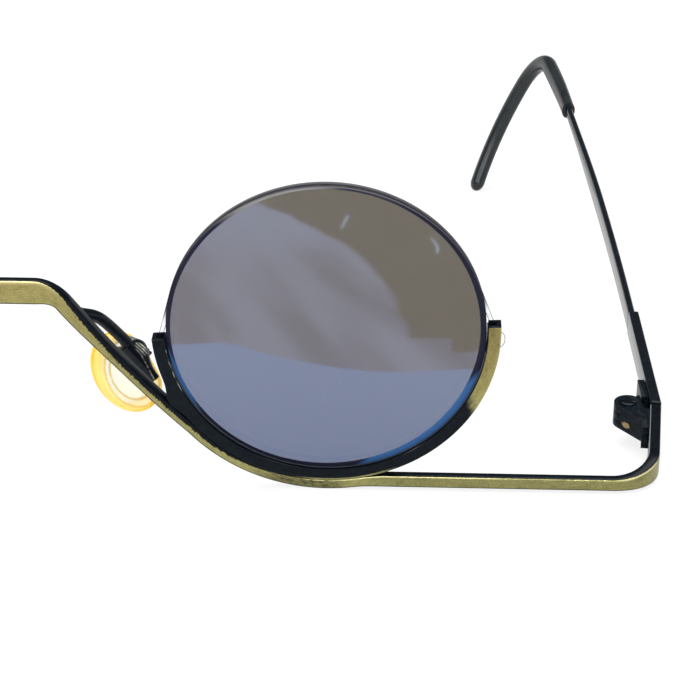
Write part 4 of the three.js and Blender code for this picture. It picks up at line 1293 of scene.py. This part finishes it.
class SUNGLASSES_OT_pad_arms(bpy.types.Operator):
    """Makes each pad arm, a bent round rod from the back of the diagonal, and the bulged box at its end."""

    bl_idname = "sunglasses.pad_arms"
    bl_label = "Pad arms and boxes"

    def execute(self, context):
        eye, bar, pad, tones = settings(context, "eye", "bar", "pad", "finish")
        make_pair("pad_arm", [self.arm(bar, eye, pad)], [fittings_finish(tones)], "black_metal")
        make_pair("pad_box", [self.clip(pad)], [box_finish(tones)], "black_metal")
        return {"FINISHED"}

    def arm(self, bar, eye, pad):
        """A round tube on a smooth curve through the bar's back, the turn over it and the top of the box."""
        _, corner_end, slope = bar_runs(bar, eye)
        lift, into_bar, into_box = np.cross(slope, AXIS_Y), 0.2 * bar.diagonal_depth, 0.3 * MM
        behind = bar.diagonal_depth - into_bar
        root = corner_end + slope * pad.arm_down + AXIS_Y * behind + lift * pad.arm_lift
        over = root + slope * pad.arm_run + AXIS_Y * pad.arm_reach + lift * pad.arm_rise
        top = pad.lug_up + pad.box_height / 2 - into_box
        depth = pad.arm / 2 - pad.box_back
        ends = [(-pad.lug_aside, top + pad.arm_approach, depth), (-pad.lug_aside, top, depth)]
        points, along = spline_run(np.array([root, over, *on_pad(np.array(ends), pad)]), 16)
        return rounded_ends(tube(points, along, pad.arm / 2, 20, AXIS_X), along, 0.15 * MM)

    def clip(self, pad):
        """A U of plate with a half-round back, carried up the pad, its top sloped.

        Its outer side bulges with a bell curve of the height, 1.3 e^-((h - 3.1) / 1.9)^2 over a quarter.
        """
        wall, inside, mouth = 0.45 * MM, 0.63 * MM, -0.45 * MM
        outside = inside + wall
        middle = outside - pad.box_back
        turn = np.linspace(0, math.pi, 17)
        half_round = np.stack([-np.cos(turn), -np.sin(turn)], axis=-1)
        section = np.concatenate(
            [
                [(-outside, mouth)],
                half_round * outside + (0, middle),
                [(outside, mouth), (inside, mouth)],
                half_round[::-1] * inside + (0, middle),
                [(-inside, mouth)],
            ]
        )
        up = pad.lug_up + np.linspace(-0.5, 0.5, 56)[:, None] * pad.box_height
        x, z = section[:, 0] + 0 * up, section[:, 1] + 0 * up
        bulge = 0.25 + 1.3 * bell(up, 3.1 * MM, 1.9 * MM)
        x = np.where(x < 0, x * bulge, x)
        slope, slope_height = 0.3, 1.5 * MM
        sloped = smooth(up, up[-1] - slope_height, up[-1]) * (z + pad.box_back) * slope
        rings = np.stack([x - pad.lug_aside, up - sloped, z], axis=-1)
        rounded, lay = rounded_ends(rings, [AXIS_Y, AXIS_Y], 0.14 * MM, rings)
        return on_pad(rounded, pad), lay


class SUNGLASSES_OT_small_metal(bpy.types.Operator):
    """Makes the hinge leaves, pad cores and screws: merged copies of their solids with broken edges."""

    bl_idname = "sunglasses.small_metal"
    bl_label = "Hinges, cores and screws"

    def execute(self, context):
        (tones,) = settings(context, "finish")
        black, steel, hinge = fittings_finish(tones), steel_finish(tones), hinge_finish(tones)
        for side, _ in SIDES:
            for node, finish, body, slot, bevel in (
                ("hinge_front_leaf", hinge, "front", "black_metal", 0.10),
                ("hinge_temple_leaf", hinge, f"{side}_temple", "black_metal", 0.10),
                ("hinge_screw", black, "front", "steel", 0.05),
                ("pad_core", steel, f"{side}_pad", "steel", 0.08),
                ("pad_screw", black, "front", "steel", 0.05),
            ):
                dressed_copy(f"{side}_{node}", finish, body, bevel * MM)
        return {"FINISHED"}


class SUNGLASSES_OT_temples(bpy.types.Operator):
    """Makes each temple: butt plate, flat wire and oval plastic tip carried along the temple's line."""

    bl_idname = "sunglasses.temples"
    bl_label = "Temples"

    def execute(self, context):
        bar, temple, tones = settings(context, "bar", "temple", "finish")
        black = black_finish("temple_black", tones, 0.22, 0.4)
        for node, make, finish, slot in (
            ("temple_butt", self.butt, black, "black_metal"),
            ("temple_wire", self.wire, black, "black_metal"),
            ("temple_tip", self.tip, plastic_finish(tones), "tip_black"),
        ):
            rings, lay = make(temple, bar)
            make_pair(node, [(in_front(rings, temple), lay)], [finish], slot, "{}_temple")
        return {"FINISHED"}

    def butt(self, temple, bar):
        """A rounded rectangle carried straight back, its front end cut to the endpiece's slant."""
        lean, gap, rounding = temple.toe_in + bar.splay, 0.08 * MM, 0.22 * MM
        x = temple_inner(temple, bar) + temple.butt_thickness / 2
        y = np.linspace(0, temple.butt_length, 30)
        points = np.stack([np.full_like(y, x), y, np.zeros_like(y)], axis=-1)
        section = rounded_section(temple.butt_height, temple.butt_thickness, rounding)
        rings = lofted(points, AXIS_Z, -AXIS_X, section - (0, temple.butt_thickness / 2))
        front = gap / math.cos(lean) - math.tan(lean) * rings[..., 0]
        rings[..., 1] += front * (1 - rings[..., 1] / temple.butt_length)
        return rounded_ends(rings, [AXIS_Y, AXIS_Y], 0.12 * MM)

    def wire(self, temple, bar):
        """A rounded flat strip along the temple's line, lower towards the tip, ending inside the tip."""
        in_tip, rounding = 8 * MM, 0.4 * MM
        points, along, up, back, s = temple_stations(temple, bar, 0)
        middle = (temple.butt_length + temple.tip_start) / 2
        lower = smooth(s, middle, temple.tip_start)
        height = temple.wire_front + (temple.wire_back - temple.wire_front) * lower
        sections = rounded_section(height, temple.wire_thickness, rounding) - (0, temple.wire_thickness / 2)
        kept = s < temple.tip_start + in_tip
        return rounded_ends(lofted(points, up, back, sections)[kept], along[kept], 0.1 * MM)

    def tip(self, temple, bar):
        """A superellipse along the line of the tip, opening from its mouth, its end rounded as an ellipse."""
        points, along, up, back, s = temple_stations(temple, bar, 1, temple.tip_end)
        opened = smooth(s, temple.tip_start, temple.tip_start + (s[-1] - temple.tip_start) / 3)
        height = temple.mouth_height + (temple.tip_height - temple.mouth_height) * opened
        thick = temple.mouth_thickness + (temple.tip_thickness - temple.mouth_thickness) * opened
        part = np.sin(np.linspace(0, math.pi / 2, 12)[1:]) * 0.999
        narrow = np.sqrt(1 - part**2)
        points = np.concatenate([points, points[-1] + along[-1] * part[:, None] * temple.tip_end])
        up, back = (np.concatenate([v, np.repeat(v[-1:], len(part), 0)]) for v in (up, back))
        height, thick = (np.concatenate([v, v[-1] * narrow]) for v in (height, thick))
        rings = lofted(points, up, back, oval_section(height, thick, 32, 0.85))
        mouth_share = np.array([0.55, 0.8, 0.93])[:, None, None]
        mouth_ahead = np.array([0.0, 0.0, 0.02])[:, None, None] * MM
        middle = rings[0].mean(0)
        mouth = middle + (rings[0] - middle) * mouth_share + along[0] * mouth_ahead
        return np.concatenate([mouth, rings]), 0.0


class SUNGLASSES_OT_stage(bpy.types.Operator):
    """Sets the pale floor, the soft lamps, the card that the lenses reflect and the camera."""

    bl_idname = "sunglasses.stage"
    bl_label = "Stage"

    def execute(self, context):
        scene = context.scene
        scene.view_settings.view_transform = "Standard"
        self.floor(scene)
        self.card(scene)
        self.world(scene)
        self.lamp(scene, "overhead", (0.05, 0.05, 0.75), (0, 0, 0), (0.9, 0.9), 9.6)
        self.lamp(scene, "front_fill", (0.1, -0.75, 0.42), (0, -0.05, 0.0), (0.7, 0.4), 5.5)
        self.lamp(scene, "strip", (-0.32, -0.30, 0.42), (0, 0, 0), (0.06, 0.4), 1.6)
        self.camera(scene)
        return {"FINISHED"}

    def sheet(self, scene, name, points, faces, finish):
        """A piece of the stage from points and faces."""
        mesh = bpy.data.meshes.new(name)
        mesh.from_pydata(points.tolist(), [], faces)
        mesh.materials.append(finish)
        sheet = bpy.data.objects.new(name, mesh)
        scene.collection.objects.link(sheet)
        return sheet

    def floor(self, scene):
        """A wide dish: flat round the object and turned up at its edge, z = 0 then a quarter circle."""
        flat, lift = 1.2, 0.35
        turn = np.linspace(0, math.pi / 2, 13)[1:]
        radius = np.concatenate([np.linspace(0.01, flat, 12), flat + lift * np.sin(turn)])
        height = np.concatenate([np.zeros(12), lift * (1 - np.cos(turn))])
        points = circle_points(1.0, circle(72))[:, [0, 2, 1]] * radius[:, None, None]
        points[..., 2] = height[:, None]
        quads, ends = ring_faces(*points.shape[:2])
        faces = [*quads[:, ::-1].tolist(), ends[0][::-1].tolist()]
        tree = finish_tree("floor_white")
        path = tree.add("ShaderNodeLightPath")
        seen = path.out("Is Camera Ray")
        seen = seen.highest(path.out("Is Glossy Ray")).highest(path.out("Is Transmission Ray"))
        plain = tree.add("ShaderNodeBsdfDiffuse", None, {"Color": (0.9, 0.9, 0.9, 1.0)})
        white = tree.emission((1, 1, 1, 1))
        finish = tree.show(tree.add("ShaderNodeMixShader", None, {0: seen * 0.82, 1: plain, 2: white}))
        floor = self.sheet(scene, "floor", points.reshape(-1, 3), faces, finish)
        floor.data.shade_smooth()

    def card(self, scene):
        """A sheet lying in front of the glasses that shows only in reflections, pale with dark outer corners.

        It leaves the middle free. Its near edge waves with the distance aside. The dark corner starts at
        43.6 mm aside and, beyond 90 mm in front, comes in with the square of the distance. Far from the
        glasses and near their middle the card is brighter, and two short bright marks lie on each half.
        """
        x = np.linspace(-0.062, 0.062, 125)
        aside = np.abs(x)
        edge = -0.0817 + 0.0036 * smooth(aside, 0.019, 0.043) - 0.0016 * bell(aside, 0.0185, 0.005)
        near = np.stack([x, edge, np.full_like(x, 0.0004)], axis=-1)
        points = np.concatenate([near, near * (1, 0, 1) - (0, 0.15, 0)])
        k = np.flatnonzero(aside[:-1] + aside[1:] > 0.0145)
        faces = np.stack([k, k + len(x), k + len(x) + 1, k + 1], axis=-1).tolist()
        tree = finish_tree("card_warm_grey")
        place = tree.place()
        x, y, _ = tree.split(place)
        x = abs(x)
        wobble = tree.noise(place, 0.11) - 0.5
        far = ((-90.0 - y) / 39.0).highest(0.0)
        inner = x - 43.6 + 25.4 * far * far + 5.0 * wobble
        notch = (x - 50.5 + 3.0 * wobble).rise(-0.4, 0.4) * (-81.9 - y + 2.0 * wobble).rise(-0.3, 0.3)
        dark = inner.rise(-0.7, 0.9) * (-85.2 - y + 2.0 * wobble).rise(-0.4, 0.4).highest(notch)
        across, down = 0.833 * x - 0.555 * y, 0.555 * x + 0.833 * y
        slanted = tree.add("ShaderNodeCombineXYZ", None, {0: 0.13 * across, 1: 0.022 * down, 2: 0.0})
        folds = tree.noise(slanted, 1.0, 2.0).rise(0.36, 0.66)
        lifted = 0.8 * (-100.0 - y).rise(0.0, 20.0) * x.fall(26.0, 36.0)
        pale = tree.mix(lifted, tree.mix(folds, (0.73, 0.49, 0.46), (1.34, 0.96, 0.76)), (1.55, 1.18, 0.95))
        tone = tree.mix(dark, pale, (0.20, 0.11, 0.08))
        inner_mark = (x + 0.21 * (y + 125.5)).line(35.3, 0.4) * abs(y + 123.0).fall(2.2, 3.6)
        bent = x + 0.06 * (y + 112.0) * (y + 112.0)
        outer_mark = bent.line(51.3, 0.4) * abs(y + 112.8).fall(2.2, 3.6)
        tone = tree.mix(inner_mark.highest(outer_mark), tone, (2.7, 2.1, 1.4))
        card = self.sheet(scene, "reflected_card", points, faces, tree.show(tree.emission(tone)))
        card.visible_camera = card.visible_diffuse = card.visible_shadow = card.visible_transmission = False

    def world(self, scene):
        """Dim even light from all round, as in a room with pale walls."""
        scene.world = bpy.data.worlds.new("studio")
        tree = Tree(scene.world)
        light = tree.add("ShaderNodeBackground", None, {"Color": (0.92, 0.96, 1.0, 1.0), "Strength": 0.12})
        tree.add("ShaderNodeOutputWorld", None, {"Surface": light})

    def placed(self, scene, name, data, axes, place):
        """An object with its own axes, given as columns, at a place."""
        thing = bpy.data.objects.new(name, data)
        thing.matrix_world = Matrix([[*axes[k], place[k]] for k in range(3)] + [[0, 0, 0, 1]])
        scene.collection.objects.link(thing)
        return thing

    def lamp(self, scene, name, at, aim, size, power):
        """A soft box at a point, turned towards another point."""
        data = bpy.data.lights.new(name, "AREA")
        data.shape = "RECTANGLE"
        data.size, data.size_y = size
        data.energy = power
        back = unit(np.array(at) - np.array(aim))
        upright = AXIS_Y if abs(back[2]) > 0.99 else AXIS_Z
        side = unit(np.cross(upright, back))
        self.placed(scene, name, data, np.stack([side, np.cross(back, side), back], axis=-1), at)

    def camera(self, scene):
        """The photograph's place: before the left lens, over the front's normal and a little aside."""
        away, pixels, frame_size, lens_pixel = 0.220, 2142.8, 700, (325.45, 332.1)
        aside, over = math.radians(2.0), math.radians(29.5)
        lens = np.array([33.8, -0.75, 0]) * MM
        right = np.array([math.cos(aside), math.sin(aside), 0])
        level = np.array([-math.sin(aside), math.cos(aside), 0])
        look = level * math.cos(over) - AXIS_Z * math.sin(over)
        up = np.cross(right, look)
        shift = np.array([lens_pixel[0] - frame_size / 2, frame_size / 2 - lens_pixel[1]]) / pixels * away
        place = lens - (right * shift[0] + up * shift[1] + look * away)
        data = bpy.data.cameras.new("photo_view")
        data.sensor_width = 36
        data.lens = pixels / frame_size * data.sensor_width
        data.clip_start, data.clip_end = 0.01, 10
        axes = np.stack([right, up, -look]) @ FRONT_AXES
        scene.camera = self.placed(scene, "photo_view", data, axes.T, to_row(place))


OPERATORS = (
    SUNGLASSES_OT_front_bar,
    SUNGLASSES_OT_lenses,
    SUNGLASSES_OT_rims,
    SUNGLASSES_OT_cords,
    SUNGLASSES_OT_nose_pads,
    SUNGLASSES_OT_pad_arms,
    SUNGLASSES_OT_small_metal,
    SUNGLASSES_OT_temples,
    SUNGLASSES_OT_stage,
)


class SUNGLASSES_PT_pieces(bpy.types.Panel):
    """Lists the operators and sizes in the sidebar."""

    bl_idname = "SUNGLASSES_PT_pieces"
    bl_label = "Sunglasses"
    bl_space_type = "VIEW_3D"
    bl_region_type = "UI"
    bl_category = "Sunglasses"

    def draw(self, context):
        for operator in OPERATORS:
            self.layout.operator(operator.bl_idname)
        for key in GROUPS:
            group = getattr(context.scene, key)
            box = self.layout.box()
            for name in group.__annotations__:
                box.prop(group, name)


def register():
    for group in GROUPS.values():
        bpy.utils.register_class(group)
    for key, group in GROUPS.items():
        setattr(bpy.types.Scene, key, bpy.props.PointerProperty(type=group))
    for item in (*OPERATORS, SUNGLASSES_PT_pieces):
        bpy.utils.register_class(item)


def unregister():
    for item in (SUNGLASSES_PT_pieces, *reversed(OPERATORS)):
        bpy.utils.unregister_class(item)
    for key, group in reversed(GROUPS.items()):
        delattr(bpy.types.Scene, key)
        bpy.utils.unregister_class(group)


def main():
    register()
    for operator in OPERATORS:
        group, name = operator.bl_idname.split(".")
        getattr(getattr(bpy.ops, group), name)()


if __name__ == "__main__":
    main()
